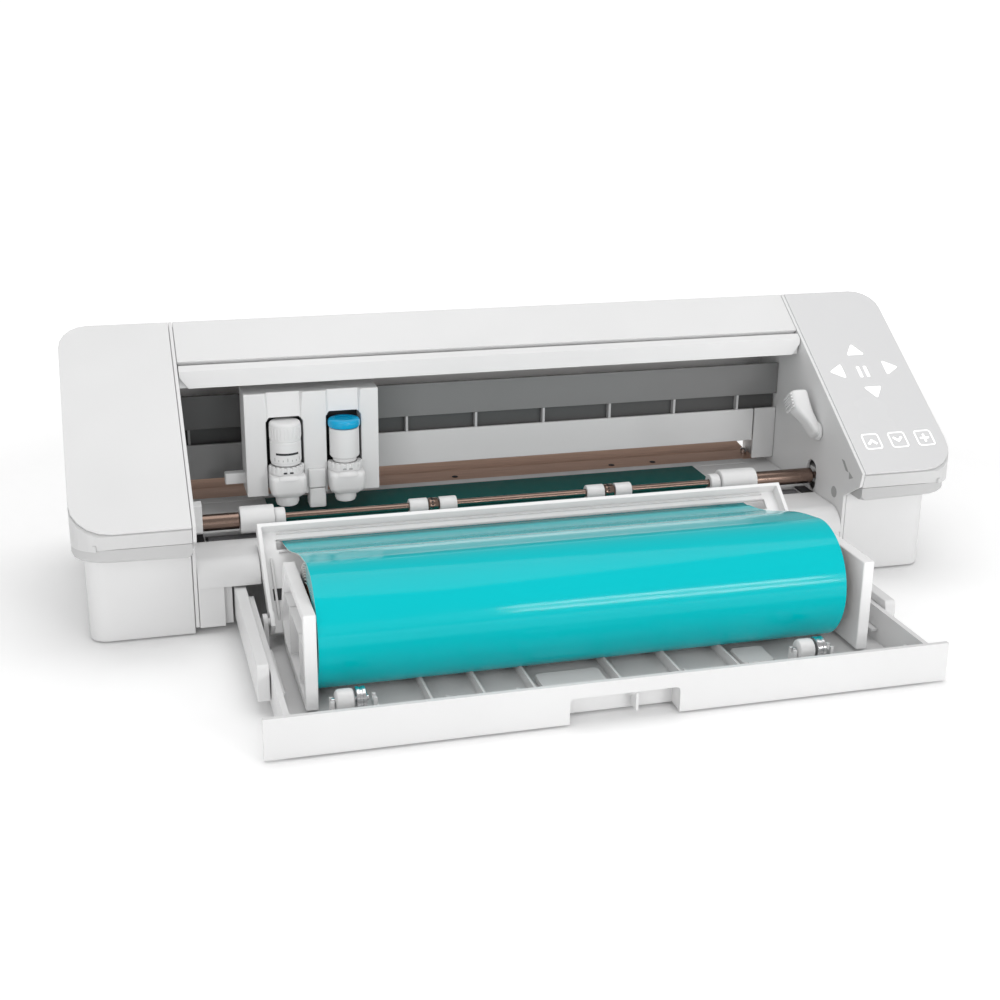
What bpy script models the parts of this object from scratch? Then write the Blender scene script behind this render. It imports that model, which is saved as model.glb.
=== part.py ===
"""Desktop vinyl cutter, opened for roll media.

Frame: +X to the machine's right, the front faces -Y, +Z up.  Every dimension below is in millimetres,
measured from the middle of the body, and is scaled to metres where a mesh is made.  At the end one root
empty moves everything back, so that the origin is under the middle of the footprint, drawer included.
"""

import math

import bmesh
import bpy
from mathutils import Matrix, Vector

MM = 0.001
GAP = 0.3                     # clearance between neighbouring pieces
SET_BACK = 74.1               # from the footprint's middle to the body's middle

# Body envelope
WIDTH = 570.0
DEPTH = 195.0
HEIGHT = 170.0
HALF_WIDTH = WIDTH / 2
FRONT_Y = -DEPTH / 2
BACK_Y = DEPTH / 2
FRONT_EDGE_Z = 78.2           # top of the front lip, where the sloping face starts
RIDGE_Y = 40.7                # the sloping face ends at this ridge
SLOPE = math.atan2(HEIGHT - FRONT_EDGE_Z, RIDGE_Y - FRONT_Y)
SLOPE_LENGTH = math.hypot(HEIGHT - FRONT_EDGE_Z, RIDGE_Y - FRONT_Y)
PARTING_Z = 66.9              # seam between upper and lower housing
HOUSING_BOTTOM_Z = 58.3
UNDER_EDGE = 3.0              # rounding of the lower housing's under edge
PARTING_Y = -94.6
SHELL = 2.4                   # moulded wall thickness
FRONT_CORNER = 24.0           # plan radius of the front outer corners
BACK_CORNER = 18.0            # radius of the rear outer corners of the sloping face

# Bay between the two housings
BAY_HALF = 213.8
WALL_THICKNESS = 2.2
HOUSING_INNER = BAY_HALF + WALL_THICKNESS + GAP
CENTRE_HALF = BAY_HALF - GAP

# Lower base
BASE_HALF = 278.4
BASE_FRONT_Y = -74.7
BASE_BACK_Y = 88.0
BASE_BOTTOM_Z = 1.0
BASE_CORNER = 10.6
BASE_WALL = 3.0

# Media path
MEDIA_LEFT, MEDIA_RIGHT = -159.4, 152.0
BED_Z = 45.2
WEB_THICKNESS = 0.55
WEB_Z = BED_Z + GAP
SHAFT_Y = -26.9
SHAFT_Z = 55.1
DRIVE_RADIUS = 7.5
PINCH_RADIUS = 8.75
PINCH_LIFT = 5.0

# Top panel and retractable cover, as distances along the slope from the front edge
PANEL_START = 130.5
LEAF_THICKNESS = 1.2
LEAF_PITCH = 1.6
LEAF_LENGTH = 29.0
LIP_START = 121.8
COVER_TRAVEL = 112.0

# Carriage
CARRIAGE_LEFT = -174.0
CARRIAGE_WIDTH = 87.0
CARRIAGE_FRONT_Y = 2.0
CARRIAGE_BACK_Y = 28.0
CARRIAGE_BOTTOM_Z = 60.0
CARRIAGE_TOP_Z = 128.7
TOOL_LEFT_X = -148.5
TOOL_RIGHT_X = -110.0
TOOL_Y = 1.0
CLAMP_TRAVEL = 3.0            # a clamp is pulled this far forward to free its tool
ROD_Y = 48.0
ROD_Z = 114.0
BELT_Y = 59.5
BELT_Z = 106.5
PULLEY_X = 198.0
PULLEY_RADIUS = 5.7

# Feeder drawer, pulled out
DRAWER_FRONT_Y = -244.7
DRAWER_FRONT_HALF = 195.2
DRAWER_TOP_Z = 24.6
DRAWER_HALF = 184.2
DRAWER_BACK_Y = -79.0
OPENING_HALF = 193.0
OPENING_TOP_Z = 30.3
FRAME_FOOT = (-120.0, 12.5)            # lower end of the guide frame's face
FRAME_ANGLE = math.radians(38.0)
FRAME_HINGE_ALONG = 12.0               # the hinge, as a distance up the face
FRAME_LENGTH = 81.0
FRAME_HALF = 175.0
PLATE_INNER = 160.5
PLATE_THICKNESS = 7.0
PLATE_FRONT_Y = -202.5
PLATE_BACK_Y = -104.4
PLATE_BOTTOM_Z = 5.3
PLATE_TOP_Z = 61.0
FEED_ROLLER = (-211.5, 14.2)
FEED_ROLLER_STARTS = (-153.0, 116.4)   # where each of the two rollers begins in x
ROLL_Y = -164.9
ROLL_Z = 39.2
ROLL_RADIUS = 35.3
ROLL_CORE = 19.0

WHITE = (0.86, 0.86, 0.87)
GREY = (0.55, 0.56, 0.57)
DARK = (0.03, 0.03, 0.035)
BRONZE = (0.30, 0.20, 0.14)
STEEL = (0.62, 0.62, 0.63)
TEAL = (0.0, 0.60, 0.64)
BLUE = (0.0, 0.36, 0.68)

parts = None
cutters = None
materials = {}


# ---------------------------------------------------------------- scene and helpers

def start_scene():
    """An empty scene with one collection for the object and one for its cutters."""
    global parts, cutters
    for obj in list(bpy.data.objects):
        bpy.data.objects.remove(obj, do_unlink=True)
    parts = bpy.data.collections.new("vinyl_cutter")
    cutters = bpy.data.collections.new("cutters")
    for collection in (parts, cutters):
        bpy.context.scene.collection.children.link(collection)


def material(name, colour, roughness=0.45, metallic=0.0):
    if name not in materials:
        made = bpy.data.materials.new(name)
        made.use_nodes = True
        shader = made.node_tree.nodes["Principled BSDF"]
        shader.inputs["Base Color"].default_value = (*colour, 1.0)
        shader.inputs["Roughness"].default_value = roughness
        shader.inputs["Metallic"].default_value = metallic
        materials[name] = made
    return materials[name]


def white_plastic():
    return material("white_plastic", WHITE, 0.4)


def grey_plastic():
    return material("grey_plastic", GREY, 0.5)


def bronze_metal():
    return material("bronze_metal", BRONZE, 0.3, 1.0)


def steel():
    return material("steel", STEEL, 0.3, 1.0)


def black_rubber():
    return material("black_rubber", DARK, 0.85)


def add_mesh(name, bm, surface):
    """A new object in the parts collection from a bmesh built in millimetres."""
    bmesh.ops.scale(bm, vec=(MM, MM, MM), verts=bm.verts)
    mesh = bpy.data.meshes.new(name)
    bm.to_mesh(mesh)
    bm.free()
    obj = bpy.data.objects.new(name, mesh)
    parts.objects.link(obj)
    if surface:
        mesh.materials.append(surface)
    return obj


def box(name, x, y, z, surface=None, bevel=0.0):
    """A block between the (low, high) pairs x, y and z."""
    bm = bmesh.new()
    bmesh.ops.create_cube(bm, size=1.0)
    size = [high - low for low, high in (x, y, z)]
    centre = [(high + low) / 2 for low, high in (x, y, z)]
    bmesh.ops.transform(bm, matrix=Matrix.Translation(centre) @ Matrix.Diagonal((*size, 1)), verts=bm.verts)
    obj = add_mesh(name, bm, surface)
    if bevel:
        rounded = obj.modifiers.new("rounded", "BEVEL")
        rounded.width = bevel * MM
        rounded.segments = 2
    return obj


AXIS_FRAMES = {
    "X": Matrix(((0, 0, 1), (1, 0, 0), (0, 1, 0))).to_4x4(),
    "Y": Matrix(((1, 0, 0), (0, 0, -1), (0, 1, 0))).to_4x4(),
    "Z": Matrix.Identity(4),
}


def prism(name, outline, axis, low, high, surface=None):
    """A flat outline pushed along an axis.

    The outline holds (y, z) pairs for X, (x, z) pairs for Y and (x, y) pairs for Z.
    """
    curve = bpy.data.curves.new(name, "CURVE")
    curve.dimensions = "2D"
    curve.fill_mode = "BOTH"
    curve.extrude = (high - low) / 2 * MM
    spline = curve.splines.new("POLY")
    spline.points.add(len(outline) - 1)
    for point, (a, b) in zip(spline.points, outline):
        point.co = (a * MM, b * MM, 0.0, 1.0)
    spline.use_cyclic_u = True
    guide = bpy.data.objects.new(name + "_outline", curve)
    parts.objects.link(guide)
    bpy.context.view_layer.update()
    mesh = bpy.data.meshes.new_from_object(guide.evaluated_get(bpy.context.evaluated_depsgraph_get()))
    bpy.data.objects.remove(guide, do_unlink=True)
    bpy.data.curves.remove(curve)
    middle = (low + high) / 2 * (-1 if axis == "Y" else 1) * MM
    mesh.transform(AXIS_FRAMES[axis] @ Matrix.Translation((0, 0, middle)))
    bm = bmesh.new()
    bm.from_mesh(mesh)
    bmesh.ops.remove_doubles(bm, verts=bm.verts, dist=1e-6)
    bmesh.ops.recalc_face_normals(bm, faces=bm.faces)
    bm.to_mesh(mesh)
    bm.free()
    mesh.name = name
    mesh.materials.clear()
    if surface:
        mesh.materials.append(surface)
    obj = bpy.data.objects.new(name, mesh)
    parts.objects.link(obj)
    return obj


def turned(name, profile, axis, centre, surface=None, steps=24):
    """A body of revolution: (radius, station) pairs from its top end to its bottom end.

    Stations run along the axis; centre gives the two other coordinates in x, y, z order.
    """
    bm = bmesh.new()
    points = [bm.verts.new((radius, 0.0, station)) for radius, station in profile]
    for first, second in zip(points, points[1:]):
        bm.edges.new((first, second))
    obj = add_mesh(name, bm, surface)
    spin = obj.modifiers.new("turned", "SCREW")
    spin.steps = steps
    spin.render_steps = steps
    spin.use_merge_vertices = True
    spin.merge_threshold = 0.00001
    apply_modifiers(obj)
    if axis == "X":
        obj.data.transform(Matrix.Translation((0, centre[0] * MM, centre[1] * MM)) @ AXIS_FRAMES["X"])
    else:
        obj.data.transform(Matrix.Translation((centre[0] * MM, centre[1] * MM, 0)))
    obj.data.shade_smooth()
    obj.data.set_sharp_from_angle(angle=math.radians(40))
    return obj


def rod(name, radius, axis, low, high, centre, surface=None, steps=16):
    return turned(name, [(0, high), (radius, high), (radius, low), (0, low)], axis, centre, surface, steps)


def apply_modifiers(obj):
    """Turns an object's evaluated shape into its own mesh."""
    bpy.context.view_layer.update()
    evaluated = obj.evaluated_get(bpy.context.evaluated_depsgraph_get())
    obj.data = bpy.data.meshes.new_from_object(evaluated)
    obj.data.name = obj.name
    obj.modifiers.clear()


def combine(obj, others, operation):
    """Boolean of obj with each of the others, which become hidden cutters and are then removed."""
    for other in others:
        parts.objects.unlink(other)
        cutters.objects.link(other)
        other.hide_render = True
        other.display_type = "WIRE"
        step = obj.modifiers.new(operation.lower(), "BOOLEAN")
        step.operation = operation
        step.solver = "EXACT"
        step.object = other
    apply_modifiers(obj)
    for other in others:
        bpy.data.objects.remove(other, do_unlink=True)
    return obj


def cut(obj, *tools):
    return combine(obj, tools, "DIFFERENCE")


def join(obj, *pieces):
    return combine(obj, pieces, "UNION")


def common(obj, *pieces):
    return combine(obj, pieces, "INTERSECT")


def arc(centre, radius, start, end, steps):
    """Points on an arc, angles in degrees, both ends included; radius may be an (a, b) pair."""
    across, along = radius if isinstance(radius, tuple) else (radius, radius)
    turns = [math.radians(start + (end - start) * i / steps) for i in range(steps + 1)]
    return [(centre[0] + across * math.cos(t), centre[1] + along * math.sin(t)) for t in turns]


def on_slope(along, below=0.0):
    """(y, z) of a point a distance along the sloping face and a depth below it."""
    y = FRONT_Y + along * math.cos(SLOPE) + below * math.sin(SLOPE)
    z = FRONT_EDGE_Z + along * math.sin(SLOPE) - below * math.cos(SLOPE)
    return y, z


def slope_strip(name, x, along, below, surface=None):
    """A flat strip parallel to the sloping face, between (low, high) pairs."""
    corners = [on_slope(a, b) for a, b in ((along[0], below[0]), (along[0], below[1]),
                                           (along[1], below[1]), (along[1], below[0]))]
    return prism(name, corners, "X", x[0], x[1], surface)


def inset(outline, distance):
    """A convex counter-clockwise outline moved inwards by a distance."""
    moved = []
    count = len(outline)
    for i in range(count):
        before, here, after = outline[i - 1], outline[i], outline[(i + 1) % count]
        first = Vector((here[0] - before[0], here[1] - before[1])).normalized()
        second = Vector((after[0] - here[0], after[1] - here[1])).normalized()
        normal = Vector((-first.y - second.y, first.x + second.x)).normalized()
        reach = distance / normal.dot(Vector((-first.y, first.x)))
        moved.append((here[0] + normal.x * reach, here[1] + normal.y * reach))
    return moved


def strip_outline(points, thickness):
    """A polyline in (y, z) given thickness on its left-hand side, as a closed outline."""
    sides = []
    for i, point in enumerate(points):
        before = Vector(points[max(i - 1, 0)])
        after = Vector(points[min(i + 1, len(points) - 1)])
        run = (after - before).normalized()
        sides.append((point[0] - run.y * thickness, point[1] + run.x * thickness))
    return list(points) + sides[::-1]


def mirrored(obj, name):
    """A copy reflected in the machine's middle plane."""
    mesh = obj.data.copy()
    mesh.name = name
    mesh.transform(Matrix.Scale(-1, 4, (1, 0, 0)))
    mesh.flip_normals()
    copy = bpy.data.objects.new(name, mesh)
    parts.objects.link(copy)
    return copy


def joint_empty(name, place, parent=None):
    """The parent empty of a moving body, on its joint's axis."""
    empty = bpy.data.objects.new(name + "_joint", None)
    empty.empty_display_size = 0.01
    empty.location = Vector(place) * MM
    parts.objects.link(empty)
    if parent:
        attach(empty, parent)
    return empty


def attach(obj, parent):
    """Parents an object without moving it."""
    bpy.context.view_layer.update()
    obj.parent = parent
    obj.matrix_parent_inverse = parent.matrix_world.inverted()


def attach_all(parent, *pieces):
    for piece in pieces:
        attach(piece, parent)


def set_on_origin():
    """One root empty carries every loose object and moves the machine back onto its origin."""
    root = bpy.data.objects.new("vinyl_cutter", None)
    for obj in [obj for obj in parts.objects if not obj.parent]:
        obj.parent = root
    parts.objects.link(root)
    root.location.y = SET_BACK * MM


# ---------------------------------------------------------------- housings and base

def housing_profile():
    """Side view of a housing, counter-clockwise in (y, z)."""
    return [(PARTING_Y, HOUSING_BOTTOM_Z), (BACK_Y, HOUSING_BOTTOM_Z), (RIDGE_Y, HEIGHT),
            (FRONT_Y, FRONT_EDGE_Z), (PARTING_Y, PARTING_Z)]


def outer_corner_plan(inner_x, outer_x, radius, front_y, back_y):
    """Plan outline of a right-hand block whose outer corners are round."""
    across, along = radius
    outline = [(inner_x, front_y)]
    outline += arc((outer_x - across, front_y + along), (across, along), -90, 0, 5)
    outline += arc((outer_x - across, back_y - along), (across, along), 0, 90, 5)
    return outline + [(inner_x, back_y)]


def face_outline(inner_x, outer_x, start, end, back_radius):
    """Outline of a sloping face in (x, distance along the slope), its outer corners round."""
    outline = [(inner_x, start)]
    outline += arc((outer_x - FRONT_CORNER, start + FRONT_CORNER), FRONT_CORNER, -90, 0, 5)
    outline += arc((outer_x - back_radius, end - back_radius), back_radius, 0, 90, 5)
    return outline + [(inner_x, end)]


def slope_prism(name, outline, above, below, surface=None):
    """An outline in the sloping face, reaching above and below that face."""
    obj = prism(name, outline, "Z", -below, above, surface)
    tilt = Matrix.Translation((0, FRONT_Y * MM, FRONT_EDGE_Z * MM)) @ Matrix.Rotation(SLOPE, 4, "X")
    obj.data.transform(tilt)
    return obj


def wedge(name, wall, low_x, surface=None):
    """The right-hand housing's solid shape, moved inwards by a wall thickness."""
    body = prism(name, inset(housing_profile(), wall), "X", low_x, HALF_WIDTH - wall, surface)
    across = FRONT_CORNER - wall
    plan = outer_corner_plan(150.0, HALF_WIDTH - wall, (across, across * math.cos(SLOPE)),
                             FRONT_Y + wall - 1.0, BACK_Y + 20.0)
    rounding = face_outline(150.0, HALF_WIDTH - wall, -60.0, SLOPE_LENGTH - wall, BACK_CORNER - wall / 2)
    return common(body, prism("plan", plan, "Z", 0.0, 250.0), slope_prism("rounding", rounding, 60.0, 250.0))


def upper_housing():
    plate = 1.8
    shell = wedge("housing_upper_right", 0.0, HOUSING_INNER, white_plastic())
    below = box("below", (100, 400), (-200, 200), (0, PARTING_Z + GAP))
    hollow = wedge("hollow", SHELL, 100.0)
    opening = box("opening", (100, HALF_WIDTH - SHELL), (PARTING_Y + SHELL + 2, BACK_Y - SHELL - 6),
                  (PARTING_Z - 20, PARTING_Z + 3))
    face = slope_strip("face", (100, 400), (-40, 250), (-60, plate + GAP))
    return cut(shell, below, hollow, opening, face)


def lower_housing():
    """The rim under the parting line: a flange with a rounded under edge."""
    across = FRONT_CORNER
    outline = outer_corner_plan(HOUSING_INNER, HALF_WIDTH, (across, across * math.cos(SLOPE)),
                                PARTING_Y, BACK_Y)
    rim = prism("housing_lower_right", outline, "Z", HOUSING_BOTTOM_Z, PARTING_Z, white_plastic())
    bm = bmesh.new()
    bm.from_mesh(rim.data)
    inner = (HOUSING_INNER + 0.1) * MM
    bottom = [e for e in bm.edges if all(v.co.z < (HOUSING_BOTTOM_Z + 0.1) * MM for v in e.verts)
              and not all(v.co.x < inner for v in e.verts) and len(e.link_faces) == 2
              and e.calc_face_angle(0.0) > 0.5]
    bmesh.ops.bevel(bm, geom=bottom, offset=UNDER_EDGE * MM, segments=3, affect="EDGES", profile=0.5)
    bm.to_mesh(rim.data)
    bm.free()
    backslope = prism("backslope", [(BACK_Y - 4.4, PARTING_Z + 5), (BACK_Y + 0.1, HOUSING_BOTTOM_Z - 1),
                                    (BACK_Y + 20, HOUSING_BOTTOM_Z - 1), (BACK_Y + 20, PARTING_Z + 5)],
                      "X", 150, 350)
    hole = prism("hole", outer_corner_plan(HOUSING_INNER - 5, HALF_WIDTH - 13, (12, 12),
                                           BASE_FRONT_Y + 6, BACK_Y - 16), "Z", 40, 80)
    return cut(rim, backslope, hole)


def top_plate(name, surface):
    """The thin face plate on a housing's slope."""
    outline = face_outline(HOUSING_INNER, HALF_WIDTH, 0.0, SLOPE_LENGTH, BACK_CORNER)
    return slope_prism(name, outline, 0.0, 1.8, surface)


def lower_base():
    """The set-back tray that a housing stands on."""
    plan = outer_corner_plan(HOUSING_INNER, BASE_HALF, (BASE_CORNER, BASE_CORNER), BASE_FRONT_Y, BASE_BACK_Y)
    base = prism("base_right", plan, "Z", BASE_BOTTOM_Z, HOUSING_BOTTOM_Z - GAP, white_plastic())
    room = outer_corner_plan(HOUSING_INNER + BASE_WALL, BASE_HALF - BASE_WALL,
                             (BASE_CORNER - BASE_WALL, BASE_CORNER - BASE_WALL),
                             BASE_FRONT_Y + BASE_WALL, BASE_BACK_Y - BASE_WALL)
    notch = box("notch", (HOUSING_INNER - 3, HOUSING_INNER + 5), (SHAFT_Y - 9, SHAFT_Y + 21), (30.0, 80.0))
    return cut(base, prism("room", room, "Z", BASE_BOTTOM_Z + BASE_WALL, 80.0), notch)


def side_wall():
    """The bay's right-hand cheek, with the slot for the lifting pinch shaft."""
    outline = [(BASE_FRONT_Y - 0.3, 5.0), (BASE_BACK_Y, 5.0), (BASE_BACK_Y, 57.0), (BACK_Y - 4.4, 66.0),
               (RIDGE_Y, HEIGHT), (FRONT_Y, FRONT_EDGE_Z), (FRONT_Y + 2.2, 68.2),
               (BASE_FRONT_Y - 0.3, 56.0)]
    wall = prism("side_wall_right", outline, "X", BAY_HALF, BAY_HALF + WALL_THICKNESS, white_plastic())
    half, rise = 7.2, 4.0
    keyhole = arc((SHAFT_Y, SHAFT_Z + rise), half, 0, 180, 8)
    keyhole += arc((SHAFT_Y, SHAFT_Z - rise + 1), half, 180, 360, 8)
    bore = rod("bore", 3.0 + GAP, "X", BAY_HALF - 5, BAY_HALF + 10, (SHAFT_Y, BED_Z - DRIVE_RADIUS))
    return cut(wall, prism("keyhole", keyhole, "X", BAY_HALF - 5, BAY_HALF + 10), bore)


def build_housings():
    right = [upper_housing(), lower_housing(), lower_base(), side_wall()]
    for obj in right:
        mirrored(obj, obj.name.replace("_right", "_left"))
    glass = material("touch_panel", (0.88, 0.88, 0.89), 0.2)
    touch_panel = top_plate("touch_panel", glass)
    mirrored(touch_panel, "top_plate_left").data.materials[0] = white_plastic()


def build_feet():
    for side, x in (("left", -247.0), ("right", 247.0)):
        for end, y in (("front", -58.0), ("back", 72.0)):
            rod(f"foot_{end}_{side}", 7.0, "Z", 0.0, BASE_BOTTOM_Z - 0.1, (x, y), black_rubber(), 12)


def build_power_button():
    """A short push button through the right-hand housing's outer wall."""
    y, z, radius = 40.0, 96.0, 5.5
    housing = bpy.data.objects["housing_upper_right"]
    cut(housing, rod("bore", radius + GAP, "X", HALF_WIDTH - 8, HALF_WIDTH + 4, (y, z), steps=16))
    button = rod("power_button", radius, "X", HALF_WIDTH - 5.0, HALF_WIDTH, (y, z), grey_plastic())
    attach(button, joint_empty("power_button", (HALF_WIDTH, y, z)))


# ---------------------------------------------------------------- middle section

def build_apron():
    """Curved front cover of the bed; its middle is set back under the raised guide frame."""
    front, radius = -76.0, 14.0
    top = (-34.5, BED_Z)
    curve = arc((front + radius, BED_Z - radius), radius, 90, 180, 5)
    side = strip_outline([top, *curve, (front, OPENING_TOP_Z)], SHELL)
    middle = strip_outline([top, (-47.0, BED_Z), (-66.0, OPENING_TOP_Z)], SHELL)
    change = FRAME_HALF + 0.6
    apron = prism("apron", middle, "X", -change - 1, change + 1, white_plastic())
    left = prism("left_end", side, "X", -CENTRE_HALF, -change)
    right = prism("right_end", side, "X", change, CENTRE_HALF)
    deck = box("deck", (-CENTRE_HALF, CENTRE_HALF), (-40.0, -34.5), (BED_Z - 6, BED_Z))
    return join(apron, left, right, deck)


def build_chassis():
    """The middle chassis: a shelf over the drawer and a cheek on either side of it."""
    shelf = box("center_chassis", (-CENTRE_HALF, CENTRE_HALF), (-58.0, 84.0), (OPENING_TOP_Z + 0.2, 33.0),
                grey_plastic())
    pieces = []
    for sign in (-1, 1):
        inner, outer = sorted((sign * OPENING_HALF, sign * CENTRE_HALF))
        step_in, step_out = sorted((sign * (OPENING_HALF + 5), sign * CENTRE_HALF))
        pieces.append(box("cheek", (inner, outer), (-71.0, 84.0), (4.5, 31.0)))
        pieces.append(box("cheek_front", (step_in, step_out), (-75.0, -70.0), (4.5, 30.0)))
        pieces.append(box("bearing", (sign * 208.0 - 3.5, sign * 208.0 + 3.5), (-33.0, -20.0), (32.0, 44.0)))
    pieces.append(box("rear_wall", (-CENTRE_HALF, CENTRE_HALF), (82.0, 84.5), (4.5, 42.5)))
    join(shelf, *pieces)
    trough = box("trough", (-204.0, 204.0), (SHAFT_Y - 9.0, SHAFT_Y + 9.0), (20.0, 40.0))
    bores = [rod("bore", 3.4, "X", sign * 208 - 6, sign * 208 + 6, (SHAFT_Y, BED_Z - DRIVE_RADIUS), steps=16)
             for sign in (-1, 1)]
    return cut(shelf, trough, *bores)


def build_platen():
    """The bed behind the drive roller, and the bronze plate that carries media out at the back."""
    platen = box("platen", (-CENTRE_HALF, CENTRE_HALF), (-18.5, 49.0), (BED_Z - 3.0, BED_Z), grey_plastic())
    leg = box("leg", (-CENTRE_HALF, CENTRE_HALF), (20.0, 23.0), (33.3, BED_Z - 2))
    join(platen, leg)
    box("rear_guide_plate", (-208.0, 208.0), (49.4, 94.0), (BED_Z - 1.6, BED_Z), bronze_metal())


def build_top_panel():
    return slope_strip("top_panel", (-CENTRE_HALF, CENTRE_HALF), (PANEL_START, SLOPE_LENGTH), (0.0, SHELL),
                       white_plastic())


def build_rear_cover():
    """The rear slope between the housings, ending above the media exit."""
    top = (RIDGE_Y + 0.4, HEIGHT - 0.2)
    bottom = (BACK_Y - 2.4, 61.5)
    outline = strip_outline([bottom, top], SHELL)
    cover = prism("rear_cover", outline, "X", -CENTRE_HALF, CENTRE_HALF, white_plastic())
    trim = slope_strip("trim", (-300, 300), (SLOPE_LENGTH - 40, SLOPE_LENGTH + 0.25), (-5, SHELL + 1.5))
    return cut(cover, trim)


def build_back_panel():
    """The dark wall behind the carriage, with a row of windows between thin ribs."""
    panel = box("bay_back_panel", (-CENTRE_HALF, CENTRE_HALF), (35.0, 37.4), (64.0, 121.0), grey_plastic())
    pitch, rib, first = 48.8, 1.6, -207.4
    windows = []
    for i in range(8):
        low = first + i * pitch + rib / 2
        windows.append(box("window", (low, low + pitch - rib), (30, 45), (87.8, 98.2)))
    feet = [box("foot", (sign * 205 - 5, sign * 205 + 5), (35.0, 37.4), (BED_Z + GAP, 66.0))
            for sign in (-1, 1)]
    cut(panel, *windows)
    return join(panel, *feet)


def build_drive_train():
    """Grit roller with its gear, and the feed motor with its pinion."""
    y, z = SHAFT_Y, BED_Z - DRIVE_RADIUS
    journal, end, gear_x = 3.0, 203.0, (223.4, 229.4)
    profile = [(0, 230), (journal, 230), (journal, end), (DRIVE_RADIUS, end), (DRIVE_RADIUS, -end),
               (journal, -end), (journal, -213.0), (0, -213.0)]
    roller = turned("drive_roller", profile, "X", (y, z), steel())
    gear = spur_gear("drive_gear", 36, 16.0, (y, z), gear_x)
    cut(gear, rod("bore", journal + GAP, "X", 210, 240, (y, z)))
    drive = joint_empty("drive", (0, y, z))
    attach_all(drive, roller, gear)
    motor_y = y + 22.2
    pinion = spur_gear("motor_pinion", 12, 5.33, (motor_y, z), gear_x, 0.5)
    attach(pinion, joint_empty("pinion", (gear_x[0], motor_y, z)))
    motor = rod("feed_motor", 17.0, "X", 234.0, 266.0, (motor_y, z), steel(), 20)
    join(motor, rod("motor_shaft", 1.6, "X", gear_x[1] + GAP, 236.0, (motor_y, z)))


def spur_gear(name, teeth, pitch_radius, centre, x, phase=0.0):
    """A straight-cut gear in the YZ plane, its teeth as short trapezoids, turned by a share of a tooth."""
    module = 2 * pitch_radius / teeth
    outline = []
    for i in range(teeth):
        for share, reach in ((-0.26, -1.15), (-0.13, 0.72), (0.13, 0.72), (0.26, -1.15)):
            turn = 2 * math.pi * (i + phase + share) / teeth
            radius = pitch_radius + reach * module
            outline.append((centre[0] + radius * math.cos(turn), centre[1] + radius * math.sin(turn)))
    return prism(name, outline, "X", x[0], x[1], material("gear_plastic", (0.8, 0.8, 0.78), 0.5))


def build_main_board():
    """Control board standing in the left-hand base."""
    green = material("board", (0.02, 0.22, 0.10), 0.5)
    box("main_board", (-262.0, -226.0), (-40.0, 60.0), (10.0, 11.6), green)


# ---------------------------------------------------------------- pinch rollers and lever

def build_pinch_rollers():
    """The bronze pinch shaft in two lifting arms, with its end rollers and the two middle ones."""
    lift = joint_empty("pinch_lift", (0, SHAFT_Y, SHAFT_Z))
    for side, sign in (("left", -1), ("right", 1)):
        low, high = sorted((sign * 216.6, sign * 222.0))
        arm = box(f"pinch_arm_{side}", (low, high), (SHAFT_Y - 5, SHAFT_Y + 17), (SHAFT_Z - 5, SHAFT_Z + 5),
                  grey_plastic())
        cut(arm, rod("bore", 2.8, "X", low - 2, high + 2, (SHAFT_Y, SHAFT_Z), steps=12))
        attach(arm, lift)
    thin, thick, pin = 2.6, 5.4, 2.4
    profile = [(0, 221.0), (pin, 221.0), (pin, 213.0), (thick, 213.0), (thick, 170.0), (thin, 170.0),
               (thin, -183.0), (thick, -183.0), (thick, -213.0), (pin, -213.0), (pin, -221.0), (0, -221.0)]
    shaft = turned("pinch_shaft", profile, "X", (SHAFT_Y, SHAFT_Z), bronze_metal(), 20)
    spin = joint_empty("pinch_spin", (0, SHAFT_Y, SHAFT_Z), lift)
    attach(shaft, spin)
    bore = thin + GAP
    for name, low, high, ring in (("pinch_roller_left", -182.6, -161.0, -154.0),
                                  ("pinch_roller_right", 144.0, 169.6, 136.8)):
        small = PINCH_RADIUS * 0.74
        if ring < low:
            profile = [(bore, high), (PINCH_RADIUS, high), (PINCH_RADIUS, low), (small, low - 1.5),
                       (small, ring), (bore, ring)]
        else:
            profile = [(bore, ring), (small, ring), (small, high + 0.4), (PINCH_RADIUS, high),
                       (PINCH_RADIUS, low), (bore, low)]
        profile.append(profile[0])
        roller = turned(name, profile, "X", (SHAFT_Y, SHAFT_Z), white_plastic(), 24)
        if name == "pinch_roller_right":
            attach(roller, joint_empty("roller_position", (157.0, SHAFT_Y, SHAFT_Z), spin))
        else:
            attach(roller, spin)
    for name, start in (("middle_roller_left", -73.2), ("middle_roller_right", 48.0)):
        outer, groove = 5.2, 4.3
        stations = [(bore, start + 31.4), (outer, start + 31.4), (outer, start + 19.6), (groove, start + 19.6),
                    (groove, start + 12.4), (outer, start + 12.4), (outer, start), (bore, start)]
        stations.append(stations[0])
        attach(turned(name, stations, "X", (SHAFT_Y, SHAFT_Z), white_plastic(), 20), spin)


def build_roller_lever():
    """The lever on the right-hand cheek that raises the pinch rollers."""
    y, z = -33.0, 89.0
    x = (204.5, BAY_HALF - GAP)
    lever = rod("roller_lever", 6.0, "X", x[0] + 2, x[1], (y, z), white_plastic(), 16)
    lean = math.radians(52)
    run, rise = math.cos(lean), math.sin(lean)
    neck = [(y + a * run - b * rise, z + a * rise + b * run) for a, b in ((0, -5), (20, -4), (20, 4), (0, 5))]
    head = [(y + a * run - b * rise, z + a * rise + b * run)
            for a, b in ((14, -5), (17, -7), (26, -7), (29, -4), (29, 4), (26, 7), (17, 7), (14, 5))]
    join(lever, prism("neck", neck, "X", x[0] + 3, x[1] - 1), prism("head", head, "X", x[0] - 2, x[1] - 2))
    attach(lever, joint_empty("roller_lever", (209.0, y, z)))


# ---------------------------------------------------------------- carriage and tools

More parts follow.
